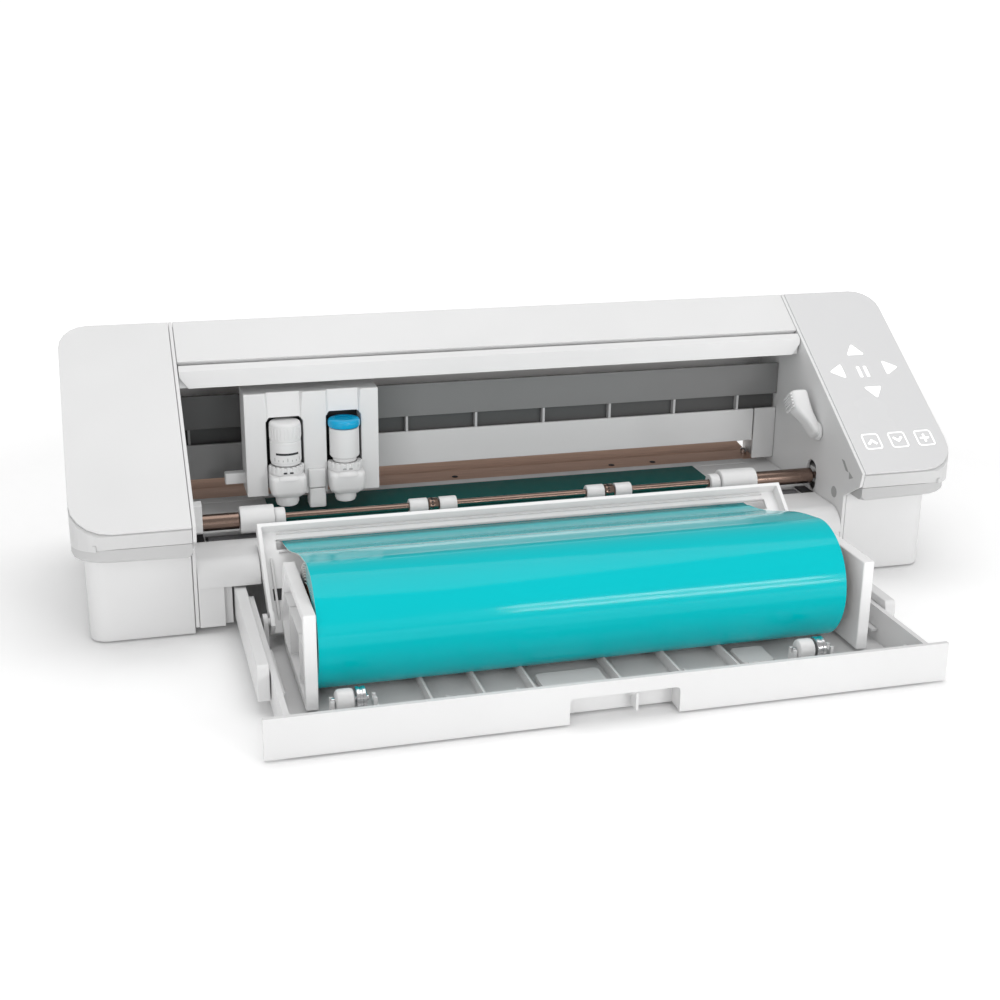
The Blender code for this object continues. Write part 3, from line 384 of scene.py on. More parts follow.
def extruded(outline, axis, low, high, bm=None):
    """A closed outline pushed along an axis, added to a bmesh."""
    bm = bm or bmesh.new()
    rings = [[bm.verts.new(spot(axis, a, b, along)) for a, b in outline] for along in (low, high)]
    count = len(outline)
    bm.faces.new(rings[0])
    bm.faces.new(rings[1][::-1])
    for i in range(count):
        j = (i + 1) % count
        bm.faces.new((rings[0][i], rings[1][i], rings[1][j], rings[0][j]))
    return bm


def block(x, y, z, bm=None):
    return extruded([(x[0], y[0]), (x[1], y[0]), (x[1], y[1]), (x[0], y[1])], "Z", z[0], z[1], bm)


def turned(profile, axis, centre, steps=48, bm=None):
    """(radius, station) pairs swept round an axis; a radius of 0 closes an end."""
    bm = bm or bmesh.new()
    rings = []
    for radius, along in profile:
        if radius == 0:
            rings.append([bm.verts.new(spot(axis, centre[0], centre[1], along))])
            continue
        circle = [(centre[0] + radius * math.cos(2 * math.pi * i / steps),
                   centre[1] + radius * math.sin(2 * math.pi * i / steps)) for i in range(steps)]
        rings.append([bm.verts.new(spot(axis, a, b, along)) for a, b in circle])
    for first, second in zip(rings, rings[1:]):
        for i in range(steps):
            j = (i + 1) % steps
            corners = [first[i % len(first)], first[j % len(first)], second[j % len(second)], second[i % len(second)]]
            unique = list(dict.fromkeys(corners))
            if len(unique) > 2:
                bm.faces.new(unique)
    return bm


def carve(obj, *tools):
    """Cuts each tool's bmesh out of an object, before its other modifiers."""
    for tool in tools:
        bmesh.ops.recalc_face_normals(tool, faces=tool.faces)
        bmesh.ops.transform(tool, matrix=TO_FRAME, verts=tool.verts)
        mesh = bpy.data.meshes.new("tool")
        tool.to_mesh(mesh)
        tool.free()
        cutter = bpy.data.objects.new("tool", mesh)
        bpy.context.scene.collection.objects.link(cutter)
        step = obj.modifiers.new("carve", "BOOLEAN")
        step.object = cutter
        step.solver = "EXACT"
        obj.modifiers.move(len(obj.modifiers) - 1, 0)
        bpy.context.view_layer.update()
        held = [m for m in obj.modifiers if m != step]
        shown = [m.show_viewport for m in held]
        for m in held:
            m.show_viewport = False
        bpy.context.view_layer.update()
        result = bpy.data.meshes.new_from_object(obj.evaluated_get(bpy.context.evaluated_depsgraph_get()))
        obj.modifiers.remove(step)
        obj.data = result
        for m, state in zip([m for m in obj.modifiers], shown):
            m.show_viewport = state
        bpy.data.objects.remove(cutter, do_unlink=True)
    obj.data.shade_smooth()
    obj.data.set_sharp_from_angle(angle=math.radians(40))
    return obj


def on_slope(along, above=0.0):
    """(y, z) of a point up the sloping top face."""
    return (EDGE_Y + along * math.cos(SLOPE) - above * math.sin(SLOPE),
            EDGE_Z + along * math.sin(SLOPE) + above * math.cos(SLOPE))


def on_frame(along, above=0.0):
    """(y, z) of a point on the tilted guide frame."""
    run, rise = math.cos(FRAME_ANGLE), math.sin(FRAME_ANGLE)
    return (FRAME_PIVOT[0] + along * run - above * rise, FRAME_PIVOT[1] + along * rise + above * run)


# ---------------------------------------------------------------- CAD nodes that keep their shape

SOFT_WHITE = ("apron", "base_left", "base_right", "cover_front", "cover_leaf_1", "cover_leaf_2", "cover_leaf_3",
              "housing_lower_left", "housing_lower_right", "housing_upper_left", "housing_upper_right",
              "rear_cover", "side_wall_left", "side_wall_right", "top_panel", "top_plate_left", "platen",
              "power_button")
SOFT_BRIGHT = ("drawer", "guide_frame", "rail_left", "rail_right", "side_plate_left", "side_plate_right")
EDGE_WIDTH = {"apron": 0.8, "drawer": 0.6, "cover_front": 1.0, "top_panel": 0.5, "housing_lower_left": 0.5,
              "housing_lower_right": 0.5, "touch_panel": 0.4, "top_plate_left": 0.4, "guide_frame": 0.7,
              "side_plate_left": 0.9, "side_plate_right": 0.9, "base_left": 0.8, "base_right": 0.8,
              "rail_left": 0.8, "rail_right": 0.8}


def dress(obj, surface, width):
    """A CAD node keeps its mesh and gains a material, welded corners and soft edges."""
    mesh = obj.data
    mesh.materials.clear()
    mesh.materials.append(surface)
    for name in ("custom_normal", "sharp_face", "sharp_edge"):
        if name in mesh.attributes:
            mesh.attributes.remove(mesh.attributes[name])
    mesh.shade_smooth()
    weld = obj.modifiers.new("weld", "WELD")
    weld.merge_threshold = 0.000002
    if not obj.name.startswith("housing_upper"):
        flat = obj.modifiers.new("flat", "DECIMATE")
        flat.decimate_type = "DISSOLVE"
        flat.angle_limit = math.radians(1.0)
    soften(obj, width)


def dress_nodes(nodes):
    surfaces = dict.fromkeys(SOFT_WHITE, white()) | dict.fromkeys(SOFT_BRIGHT, bright())
    surfaces["touch_panel"] = shade("touch_panel", glossy_panel, (0.72, 0.72, 0.725))
    for name in ("center_chassis", "pinch_arm_left", "pinch_arm_right"):
        surfaces[name] = bright()
    # One white plastic in lit and shaded copies: the upper housings (0.68) and lower housings (0.57) take painted
    # shade, the feeder parts (0.95) painted light.
    for name in ("housing_upper_left", "housing_upper_right"):
        surfaces[name] = shade("housing_plastic", moulded, (0.68, 0.68, 0.68))
    for name in ("housing_lower_left", "housing_lower_right"):
        surfaces[name] = shade("shaded_plastic", moulded, (0.57, 0.57, 0.57))
    for name in ("guide_frame", "side_plate_left", "side_plate_right"):
        surfaces[name] = shade("feeder_painted_light", moulded, (0.95, 0.95, 0.95), 0.4, 0.25, 0.03)
    for name in ("carriage_rod", "motor_pulley", "idler_pulley"):
        surfaces[name] = steel()
    for name in ("carriage_motor", "feed_motor"):
        surfaces[name] = shade("motor_steel", metal, (0.32, 0.32, 0.33), 0.35)
    surfaces["pinch_shaft"] = bronze()
    surfaces["drive_roller"] = shade("grit_roller", grit, (0.12, 0.12, 0.125))
    for name in ("drive_gear", "motor_pinion"):
        surfaces[name] = shade("gear_plastic", moulded, (0.75, 0.74, 0.70), 0.45, 0.2)
    for name in ("drive_belt", "foot_back_left", "foot_back_right", "foot_front_left", "foot_front_right"):
        surfaces[name] = shade("black_rubber", rubber, (0.02, 0.02, 0.022))
    surfaces["main_board"] = shade("circuit_board", circuit, (0.01, 0.13, 0.06))
    for name, surface in surfaces.items():
        dress(nodes[name], surface, EDGE_WIDTH.get(name, 0.35))


# ---------------------------------------------------------------- panel print

def panel_mark(name, outline, centre, thickness=0.06, surface=None):
    """A flat mark on the touch panel; its outline is in (x, distance up the slope) about its centre."""
    bm = bmesh.new()
    rings = []
    for above in (0.005, thickness):
        rings.append([bm.verts.new((centre[0] + a, *on_slope(centre[1] + b, above))) for a, b in outline])
    bm.faces.new(rings[1])
    for i in range(len(outline)):
        j = (i + 1) % len(outline)
        bm.faces.new((rings[0][i], rings[0][j], rings[1][j], rings[1][i]))
    return add_piece(name, bm, "machine", surface or shade("lit_print", lit_print, (1.0, 1.0, 1.0)))


def turned_outline(outline, quarter_turns):
    for _ in range(quarter_turns):
        outline = [(-b, a) for a, b in outline]
    return outline


def build_panel_print():
    """Arrow pad, pause mark and three framed keys."""
    arrow = arc((0, 4.6), 0.8, 30, 150, 4) + arc((-5.2, -3.4), 0.8, 150, 270, 4) + arc((5.2, -3.4), 0.8, -90, 30, 4)
    for name, centre, turns in (("up", (249.0, 108.0), 0), ("left", (230.0, 89.5), 1),
                                ("down", (250.2, 69.7), 2), ("right", (270.0, 90.5), 3)):
        panel_mark(f"arrow_{name}", turned_outline(arrow, turns), centre)
    for side in (-1, 1):
        bar = rounded_outline((-1.1, -5.0), (1.1, 5.0), 0.6, 2)
        panel_mark(f"pause_bar_{'left' if side < 0 else 'right'}", bar, (248.6 + side * 2.6, 88.0))
    chevron = [(-3.6, -1.6), (-2.5, -2.7), (0.0, -0.2), (2.5, -2.7), (3.6, -1.6), (0.0, 2.0)]
    plus = [(-0.7, -3.2), (0.7, -3.2), (0.7, -0.7), (3.2, -0.7), (3.2, 0.7), (0.7, 0.7),
            (0.7, 3.2), (-0.7, 3.2), (-0.7, 0.7), (-3.2, 0.7), (-3.2, -0.7), (-0.7, -0.7)]
    for index, (x, mark) in enumerate(((231.0, chevron), (250.4, turned_outline(chevron, 2)), (270.0, plus))):
        key_frame(f"key_frame_{index + 1}", (x, 26.2))
        panel_mark(f"key_mark_{index + 1}", mark, (x, 26.2))


def key_frame(name, centre):
    """A thin rounded square drawn as a ring."""
    outer = rounded_outline((-6.2, -6.6), (6.2, 6.6), 2.2)
    hollow = rounded_outline((-5.4, -5.8), (5.4, 5.8), 1.5)
    bm = bmesh.new()
    rings = [[bm.verts.new((centre[0] + a, *on_slope(centre[1] + b, 0.06))) for a, b in ring]
             for ring in (outer, hollow)]
    for i in range(len(outer)):
        j = (i + 1) % len(outer)
        bm.faces.new((rings[0][i], rings[0][j], rings[1][j], rings[1][i]))
    return add_piece(name, bm, "machine", shade("lit_print", lit_print, (1.0, 1.0, 1.0)))


# ---------------------------------------------------------------- carriage and tools

def build_carriage():
    """Carriage face with two tool bays, a scooped channel over each, and the centre pad."""
    left, right, front, back, bottom, top = -174.0, -87.0, 2.0, 28.0, 60.0, 128.7
    shell = add_piece("carriage_shell", block((left, right), (front, back), (bottom, top)), "carriage", white(),
                      soft=1.4, segments=3)
    tools = []
    for x, half, head in ((TOOLS["left"][0], 12.0, 112.3), (TOOLS["right"][0], 11.5, 114.3)):
        opening = [(x - half, 50.0), (x + half, 50.0), (x + half, head - 2.5), (x + half - 2.5, head),
                   (x - half + 2.5, head), (x - half, head - 2.5)]
        tools.append(extruded(opening, "Y", front - 5, 19.0))
        tools.append(scoop(x, half, front, head, top))
    carve(shell, *tools)
    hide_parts("carriage_body")
    middle = (TOOLS["left"][0] + TOOLS["right"][0]) / 2
    pad_x = (middle - 5.0, middle + 6.5)
    add_piece("carriage_pad_top", extruded(rounded_outline((pad_x[0], -1.0), (pad_x[1], 12.0), 1.5), "Z", 64.0, 77.0),
              "carriage", white(), soft=1.0)
    add_piece("carriage_pad_bottom", extruded(rounded_outline((pad_x[0] + 0.3, -0.7), (pad_x[1] - 0.3, 12.0), 1.5),
                                              "Z", 50.5, 63.7), "carriage", bright(), soft=0.6)
    hanger = block((middle - 20, middle + 20), (26.0, 46.0), (123.0, 127.0))
    block((middle - 20, middle + 20), (42.6, 51.4), (119.0, 127.0), hanger)
    add_piece("carriage_hanger", hanger, "carriage", inner(), soft=0.5)
    slider = add_piece("carriage_slider", block((middle - 20, middle + 20), (42.6, 51.4), (108.2, 119.3)), "carriage",
                       inner(), soft=0.5)
    carve(slider, turned([(0, middle - 30), (3.8, middle - 30), (3.8, middle + 30), (0, middle + 30)], "X",
                         (48.0, 114.0), 32))
    add_piece("carriage_shoe", block((-187.0, -173.6), (13.0, 20.0), (66.0, 73.5)), "carriage", white(),
              soft=0.8)
    for name, x, half in (("left", TOOLS["left"][0], 12.0), ("right", TOOLS["right"][0], 11.5)):
        rear = block((x - half + 0.2, x + half - 0.2), (17.6, 18.9), (61.0, 111.8))
        for step in range(9):
            z = 64.0 + step * 5.0
            block((x - half + 1.5, x + half - 1.5), (17.0, 17.7), (z, z + 1.6), rear)
        # A near-black lining at the back of each tool bay: painted shade inside the bay.
        add_piece(f"bay_lining_{name}", rear, "carriage", dark())


def scoop(x, half, front, head, top):
    """The shallow channel that runs from a bay up over the carriage's top edge."""
    bm = bmesh.new()
    flare = 2.0
    ring = [(x - half - flare, front - 3, top + 3), (x + half + flare, front - 3, top + 3),
            (x + half - 1.5, front + 3.6, top + 3), (x - half + 1.5, front + 3.6, top + 3)]
    foot = [(x - half, front - 3, head - 4), (x + half, front - 3, head - 4),
            (x + half - 1.5, front + 1.0, head - 4), (x - half + 1.5, front + 1.0, head - 4)]
    upper, lower = [bm.verts.new(p) for p in ring], [bm.verts.new(p) for p in foot]
    bm.faces.new(upper)
    bm.faces.new(lower[::-1])
    for i in range(4):
        j = (i + 1) % 4
        bm.faces.new((lower[i], lower[j], upper[j], upper[i]))
    return bm


def build_tools():
    """Blade holder with its depth scale, and the capped tool."""
    (x, y) = TOOLS["left"]
    holder = [(0, 110.6), (8.4, 110.6), (9.3, 110.3), (9.9, 109.6), (10.1, 108.6), (10.1, 98.8), (9.7, 98.5),
              (9.7, 97.9), (10.1, 97.6), (10.1, 84.6), (9.6, 84.0), (9.6, 82.6), (7.6, 81.6), (7.6, 56.4),
              (6.8, 54.4), (4.2, 53.6), (0, 53.6)]
    piece = add_piece("blade_holder", turned(holder, "Z", (x, y)), "tool_left", pale(), soft=0.15)
    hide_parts("tool_left")
    mark = turned([(10.1, 91.3), (10.18, 91.3), (10.18, 89.9), (10.1, 89.9)], "Z", (x, y))
    keep_front(mark, y - 7.0)
    add_piece("holder_mark", mark, "tool_left", dark())
    ticks = bmesh.new()
    for turn in range(-3, 4):
        angle = math.radians(turn * 17)
        tick = block((-0.2, 0.2), (-10.18, -10.0), (85.6, 88.0 if turn % 3 == 0 else 86.8))
        spin_about(tick, angle, (x, y))
        merge(ticks, tick)
    add_piece("holder_scale", ticks, "tool_left", inner())
    ridges = bmesh.new()
    for step in range(14):
        ridge = block((-0.45, 0.45), (-10.4, -9.9), (100.4, 107.6))
        spin_about(ridge, math.radians(-85 + step * 13), (x, y))
        merge(ridges, ridge)
    add_piece("holder_ridges", ridges, "tool_left", pale(), soft=0.2)
    (x, y) = TOOLS["right"]
    body = [(0, 104.2), (9.4, 104.2), (9.7, 103.8), (9.7, 85.6), (9.0, 84.6), (7.8, 84.0), (7.8, 82.0), (7.0, 81.0),
            (7.0, 56.6), (6.2, 54.6), (3.8, 53.8), (0, 53.8)]
    piece = add_piece("capped_tool", turned(body, "Z", (x, y)), "tool_right", pale(), soft=0.15)
    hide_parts("tool_right")
    crown = [(0, 109.6), (5.8, 109.6), (6.2, 110.2), (8.6, 110.2), (9.9, 109.6), (10.5, 108.4), (10.5, 106.2),
             (10.1, 105.0), (9.2, 104.5), (0, 104.5)]
    cap = add_piece("blue_cap", turned(crown, "Z", (x, y)), "tool_right",
                    shade("blue_plastic", moulded, (0.0, 0.40, 0.70), 0.22, 0.08, 0.1), soft=0.2)
    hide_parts("tool_right_cap")


def spin_about(bm, angle, centre):
    """Turns a bmesh that was made round the origin about a vertical axis and sets it on its centre."""
    bmesh.ops.rotate(bm, verts=bm.verts, matrix=Matrix.Rotation(angle, 3, "Z"))
    bmesh.ops.translate(bm, verts=bm.verts, vec=(*centre, 0))


def keep_front(bm, limit):
    """Removes the faces behind a y limit."""
    away = [f for f in bm.faces if f.calc_center_median().y > limit]
    bmesh.ops.delete(bm, geom=away, context="FACES")


def merge(target, source):
    """Adds one bmesh to another."""
    mesh = bpy.data.meshes.new("merge")
    source.to_mesh(mesh)
    source.free()
    target.from_mesh(mesh)
    bpy.data.meshes.remove(mesh)


def build_clamps():
    """The flared clamps that hold the tools, with a ratchet ring on top and a thumb shelf in front."""
    for side, nozzle in (("left", 7.6), ("right", 7.0)):
        x, y = TOOLS[side]
        body = f"clamp_{side}"
        shell = add_piece(f"tool_clamp_shell_{side}", clamp_solid(x), body, pale(), soft=0.6)
        room = nozzle + 0.8
        hole = arc((x, y), room, 180, 360, 16) + arc((x, y + 3.0), room, 0, 180, 16)
        carve(shell, extruded(hole, "Z", 50, 90))
        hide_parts(f"tool_clamp_{side}")
        collar = [(room + 0.2, 81.4), (10.6, 81.4), (11.4, 80.6), (11.4, 77.4), (10.8, 75.6), (room + 0.2, 75.6)]
        ring = turned(collar, "Z", (x, y))
        keep_front(ring, y + 2.0)
        add_piece(f"clamp_collar_{side}", ring, body, pale(), soft=0.3)
        teeth = bmesh.new()
        for step in range(9):
            tooth = block((-0.9, 0.9), (-11.8, -10.6), (78.0, 82.2))
            spin_about(tooth, math.radians(-70 + step * 17.5), (x, y))
            merge(teeth, tooth)
        add_piece(f"clamp_ratchet_{side}", teeth, body, pale(), soft=0.25)
        shelf = turned([(0, 77.2), (4.0, 76.9), (6.6, 76.0), (7.6, 74.6), (0, 74.4)], "Z", (0.0, 0.0), 32)
        bmesh.ops.scale(shelf, vec=(1.0, 0.5, 1.0), verts=shelf.verts)
        bmesh.ops.translate(shelf, vec=(x, y - 11.6, 0.0), verts=shelf.verts)
        add_piece(f"clamp_thumb_shelf_{side}", shelf, body, pale())
        mark = extruded(rounded_outline((x - 3.2, 77.9), (x + 3.2, 79.0), 0.3, 2), "Y", y - 11.55, y - 11.35)
        add_piece(f"clamp_mark_{side}", mark, body, dark() if side == "left" else inner())


def clamp_solid(x):
    """The clamp's body: a flat-fronted block that tapers to the nozzle."""
    bm = bmesh.new()
    rings = []
    for z, half, front, radius in ((60.8, 8.6, -7.4, 4.0), (63.4, 10.8, -10.8, 4.0), (66.0, 11.3, -12.0, 3.2),
                                   (72.4, 11.5, -12.6, 3.0), (74.8, 11.5, -12.2, 3.4), (76.2, 11.0, -11.0, 4.4)):
        outline = rounded_outline((x - half, front), (x + half, 16.0), radius, 6)
        rings.append([bm.verts.new((a, b, z)) for a, b in outline])
    for first, second in zip(rings, rings[1:]):
        for i in range(len(first)):
            j = (i + 1) % len(first)
            bm.faces.new((first[i], first[j], second[j], second[i]))
    bm.faces.new(rings[0][::-1])
    bm.faces.new(rings[-1])
    return bm


# ---------------------------------------------------------------- rollers and lever

def build_pinch_rollers():
    """White end rollers with a flange, and the two middle rollers with a bronze bush."""
    bore = 2.9
    left = [(bore, -161.0), (8.4, -161.0), (8.75, -161.5), (8.75, -181.8), (8.3, -182.6), (bore, -182.6)]
    flange = [(bore, -154.0), (5.9, -154.0), (6.4, -154.6), (6.4, -159.9), (6.0, -160.6), (bore, -160.6)]
    right = [(bore, 169.6), (8.3, 169.6), (8.75, 168.8), (8.75, 144.6), (8.3, 144.0), (bore, 144.0)]
    ring = [(bore, 143.4), (6.0, 143.4), (6.4, 142.8), (6.4, 137.4), (6.0, 136.8), (bore, 136.8)]
    for name, body, barrel, collar in (("left", "pinch_shaft", left, flange), ("right", "pinch_roller_right", right, ring)):
        piece = add_piece(f"pinch_barrel_{name}", turned(barrel + barrel[:1], "X", SHAFT), body, pale(),
                          soft=0.15)
        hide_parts(f"pinch_roller_{name}")
        add_piece(f"pinch_flange_{name}", turned(collar + collar[:1], "X", SHAFT), body, pale())
    for name, start in (("left", -73.2), ("right", 48.0)):
        sleeves = bmesh.new()
        for low, high in ((start, start + 12.0), (start + 20.0, start + 31.4)):
            profile = [(bore, low), (4.9, low), (5.2, low + 0.4), (5.2, high - 0.4), (4.9, high), (bore, high)]
            turned(profile + profile[:1], "X", SHAFT, 40, sleeves)
        piece = add_piece(f"middle_sleeves_{name}", sleeves, "pinch_shaft", pale())
        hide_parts(f"middle_roller_{name}")
        bush = [(bore, start + 12.6), (4.2, start + 12.6), (4.9, start + 13.4), (4.9, start + 18.4),
                (4.2, start + 19.3), (bore, start + 19.3)]
        add_piece(f"middle_bush_{name}", turned(bush + bush[:1], "X", SHAFT, 40), "pinch_shaft", bronze())
        ridge = bmesh.new()
        for step in range(16):
            angle = 2 * math.pi * step / 16
            tooth = block((start + 14.6, start + 15.6), (4.6, 5.15), (-0.5, 0.5))
            bmesh.ops.rotate(tooth, verts=tooth.verts, matrix=Matrix.Rotation(angle, 3, "X"))
            bmesh.ops.translate(tooth, verts=tooth.verts, vec=(0, *SHAFT))
            merge(ridge, tooth)
        add_piece(f"middle_grip_{name}", ridge, "pinch_shaft", shade("black_rubber", rubber, (0.02, 0.02, 0.022)))


def loft(sections, steps=20):
    """Rings of rounded rectangles: (centre, half width along x, half height, angle in the YZ plane)."""
    bm = bmesh.new()
    rings = []
    for (x, y, z), half_x, half_h, angle in sections:
        ring = []
        for i in range(steps):
            t = 2 * math.pi * i / steps
            a = math.copysign(abs(math.cos(t)) ** 0.6, math.cos(t)) * half_x
            b = math.copysign(abs(math.sin(t)) ** 0.6, math.sin(t)) * half_h
            ring.append(bm.verts.new((x + a, y - b * math.sin(angle), z + b * math.cos(angle))))
        rings.append(ring)
    for first, second in zip(rings, rings[1:]):
        for i in range(steps):
            j = (i + 1) % steps
            bm.faces.new((first[i], first[j], second[j], second[i]))
    bm.faces.new(rings[0])
    bm.faces.new(rings[-1][::-1])
    return bm


def build_lever():
    """Roller lever: a disc on the wall, a curved neck and a ribbed thumb grip."""
    y, z, lean = -33.0, 89.0, math.radians(52)
    run, rise = math.cos(lean), math.sin(lean)
    sections = []
    for along, x, half_x, half_h in ((-4.0, 210.6, 2.0, 5.0), (0.0, 210.0, 3.2, 6.6), (6.0, 208.6, 4.2, 6.2),
                                     (11.0, 206.6, 5.2, 5.8), (15.0, 204.6, 6.4, 6.6), (17.0, 203.8, 6.8, 7.4),
                                     (22.0, 203.2, 7.0, 7.8), (26.5, 203.2, 7.0, 7.8), (28.4, 203.4, 6.6, 7.2),
                                     (29.4, 203.6, 5.6, 6.0)):
        sections.append(((x, y + along * run, z + along * rise), half_x, half_h, lean))
    grip = add_piece("lever_grip", loft(sections), "roller_lever", bright())
    grip.modifiers.new("round", "SUBSURF").levels = 2
    grip.modifiers["round"].render_levels = 2
    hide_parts("roller_lever")
    ribs = bmesh.new()
    for step in range(5):
        along = 17.4 + step * 2.3
        rib = block((195.9, 197.4), (-6.0, 6.0), (-0.5, 0.5))
        bmesh.ops.rotate(rib, verts=rib.verts, matrix=Matrix.Rotation(lean - math.pi / 2, 3, "X"))
        bmesh.ops.translate(rib, verts=rib.verts, vec=(0, y + along * run, z + along * rise))
        merge(ribs, rib)
    add_piece("lever_ribs", ribs, "roller_lever", bright(), soft=0.25)
    disc = [(0, 213.2), (6.4, 213.2), (6.4, 211.8), (5.4, 210.8), (0, 210.6)]
    add_piece("lever_disc", turned(disc, "X", (y, z)), "roller_lever", bright())


# ---------------------------------------------------------------- bay details

def build_bay():
    """Louvre lining, rear guide plate, wall recesses and the small marks of the bay."""
    # The far wall is one plastic: its upper part takes a much darker grey than the lower part, as painted shade under
    # the overhanging top.
    upper = block((-213.5, 213.5), (35.0, 37.4), (98.2, 121.0))
    panel = add_piece("bay_wall_upper", upper, "machine", shade("bay_wall", bay_plastic, (0.22, 0.22, 0.22)),
                      soft=0.5)
    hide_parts("bay_back_panel")
    add_piece("bay_wall_lower", block((-213.5, 196.0), (34.6, 37.0), (64.0, 87.8)), "machine",
              shade("bay_skirt", bay_plastic, (0.72, 0.72, 0.72)), soft=0.6)
    add_piece("bay_corner", block((197.0, 213.5), (34.6, 37.0), (50.0, 87.8)), "machine",
              shade("bay_skirt", bay_plastic, (0.72, 0.72, 0.72)), soft=0.6)
    add_piece("bay_strip", block((-207.8, 196.0), (39.6, 49.2), (BED_Z + 0.02, BED_Z + 0.32)), "machine", bright(),
              soft=0.08)
    # A near-black sheet behind the louvre ribs: painted shade for the dark inside of the machine.
    add_piece("louvre_lining", block((-213.0, 213.0), (40.0, 41.0), (86.0, 100.0)), "machine",
              shade("louvre_painted_shade", bay_plastic, (0.08, 0.08, 0.08)))
    ribs = bmesh.new()
    for step in range(9):
        x = -207.4 + step * 48.8
        block((x - 0.8, x + 0.8), (35.4, 40.2), (87.4, 98.6), ribs)
    add_piece("louvre_ribs", ribs, "machine", shade("bay_rib", bay_plastic, (0.55, 0.55, 0.555)))
    plate = extruded([(49.6, BED_Z - 1.5), (93.8, BED_Z - 1.5), (93.8, BED_Z + 3.2), (92.8, BED_Z + 3.2),
                      (72.0, BED_Z + 0.4), (71.0, BED_Z), (49.6, BED_Z)], "X", -207.8, 207.8)
    rear = add_piece("rear_bronze_plate", plate, "machine", bronze_plate(), soft=0.25)
    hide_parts("rear_guide_plate")
    screws = bmesh.new()
    for x in (-150.0, -22.0, 96.0, 128.0):
        turned([(0, BED_Z + 0.35), (1.9, BED_Z + 0.35), (2.3, BED_Z + 0.05), (0, BED_Z + 0.02)], "Z", (x, 57.0), 20,
               screws)
    add_piece("rear_plate_screws", screws, "machine", dark())
    head = turned([(0, BED_Z + 4.0), (1.6, BED_Z + 3.9), (2.2, BED_Z + 3.4), (2.2, BED_Z + 0.3), (0, BED_Z + 0.3)], "Z",
                  (203.0, 63.0), 24)
    add_piece("rear_plate_end_screw", head, "machine", steel())
    wall = BAY_HALF - 0.16
    # The dimple and the slot take a mid grey on the white wall: painted shade in the recesses.
    dimple = turned([(0, wall + 0.1), (3.0, wall + 0.1), (3.5, wall - 0.05), (3.9, wall + 0.12)], "X", (-61.6, 54.2), 28)
    add_piece("wall_dimple", dimple, "machine", inner())
    slot = [(-68.8, 79.8), (-72.6, 79.4), (-79.2, 73.4), (-75.4, 73.6)]
    add_piece("wall_slot", extruded(slot, "X", wall - 0.05, wall + 0.1), "machine", inner())
    arrow = [(-80.2, 74.0), (-85.8, 71.6), (-80.6, 69.2)]
    add_piece("wall_arrow", extruded(arrow, "X", wall - 0.05, wall + 0.1), "machine", inner())
    for side, sign in (("left", -1), ("right", 1)):
        # Near-black blocks in the gaps at the ends of the bed, under the shaft: painted shade.
        gap = extruded([(-34.0, BED_Z - 0.1), (-20.0, BED_Z - 0.1), (-20.0, BED_Z - 4), (-34.0, BED_Z - 4)], "X",
                       *sorted((sign * 205.5, sign * 213.0)))
        add_piece(f"roller_end_gap_shade_{side}", gap, "machine", dark())
    bracket = extruded([(-34.0, 51.0), (-20.0, 47.5), (-20.0, 66.0), (-27.0, 70.0), (-34.0, 69.0)], "X", -212.9, -206.0)
    add_piece("shaft_bracket", bracket, "pinch_arms", white(), soft=0.6)
    carve(bpy.data.objects["shaft_bracket"], turned([(0, -215.0), (3.1, -215.0), (3.1, -200.0), (0, -200.0)], "X", SHAFT, 32))
    cup = turned([(0, BED_Z + 0.06), (4.6, BED_Z + 0.06), (5.2, BED_Z + 0.16), (6.4, BED_Z + 0.02)], "Z", (-190.0, -47.0), 32)
    add_piece("apron_dimple", cup, "machine", white())


def build_corner_ribs():
    """Curved ribs that close the front corners of the upper housings from inside, just above the seam."""
    across, along = 24.0, 20.0
    for side, sign in (("left", -1), ("right", 1)):
        centre = (285.0 - across, -98.5 + along)
        outline = arc(centre, (across - 0.2, along - 0.2), -65, -5, 12)
        outline += arc(centre, (across - 4.0, along - 4.0), -5, -65, 12)
        rib = extruded([(sign * x, y) for x, y in outline], "Z", 66.95, 70.3)
        # The ribs take the upper housings' grey, which carries painted shade.
        add_piece(f"corner_rib_{side}", rib, "machine",
                  shade("housing_plastic", moulded, (0.68, 0.68, 0.68)))


def build_back():
    """What the back shows: vents and sockets."""
    y_of = lambda z: BACK_Y - 2.0 - (z - 61.5) * (BACK_Y - 2.4 - RIDGE_Y) / (HEIGHT - 61.5)
    vents = bmesh.new()
    lean = math.atan2(HEIGHT - 61.5, BACK_Y - 2.4 - RIDGE_Y)
    for row in range(3):
        for column in range(9):
            x = -60.0 + column * 15.0
            z = 100.0 + row * 7.0
            vent = extruded(rounded_outline((-5.5, -1.3), (5.5, 1.3), 1.2, 4), "Z", -0.05, 0.12)
            bmesh.ops.rotate(vent, verts=vent.verts, matrix=Matrix.Rotation(lean + math.pi, 3, "X"))
            bmesh.ops.translate(vent, verts=vent.verts, vec=(x, y_of(z) + 0.35, z))
            merge(vents, vent)
    # The vents are flat near-black patches: painted shade for their openings.
    add_piece("rear_vents", vents, "machine", dark())
    rear = 88.0
    for name, x, half, z in (("power_socket", -247.0, 5.5, 30.0), ("data_socket", -228.5, 6.2, 30.0)):
        frame_bm = extruded(rounded_outline((x - half - 1.6, z - 6.6), (x + half + 1.6, z + 6.6), 2.0), "Y", rear, rear + 0.35)
        add_piece(f"{name}_frame", frame_bm, "machine", bright(), soft=0.15)
        # Each opening is a flat near-black patch: painted shade for the hole.
        hole = extruded(rounded_outline((x - half, z - 5.0), (x + half, z + 5.0), 1.4), "Y", rear + 0.2, rear + 0.42)
        add_piece(f"{name}_opening", hole, "machine", dark())
    contact = turned([(0, rear + 1.6), (1.1, rear + 1.6), (1.3, rear + 1.3), (1.3, rear + 0.3), (0, rear + 0.3)], "Y",
                     (-247.0, 30.0), 20)
    add_piece("power_socket_pin", contact, "machine", steel())


# ---------------------------------------------------------------- drawer, frame and plates

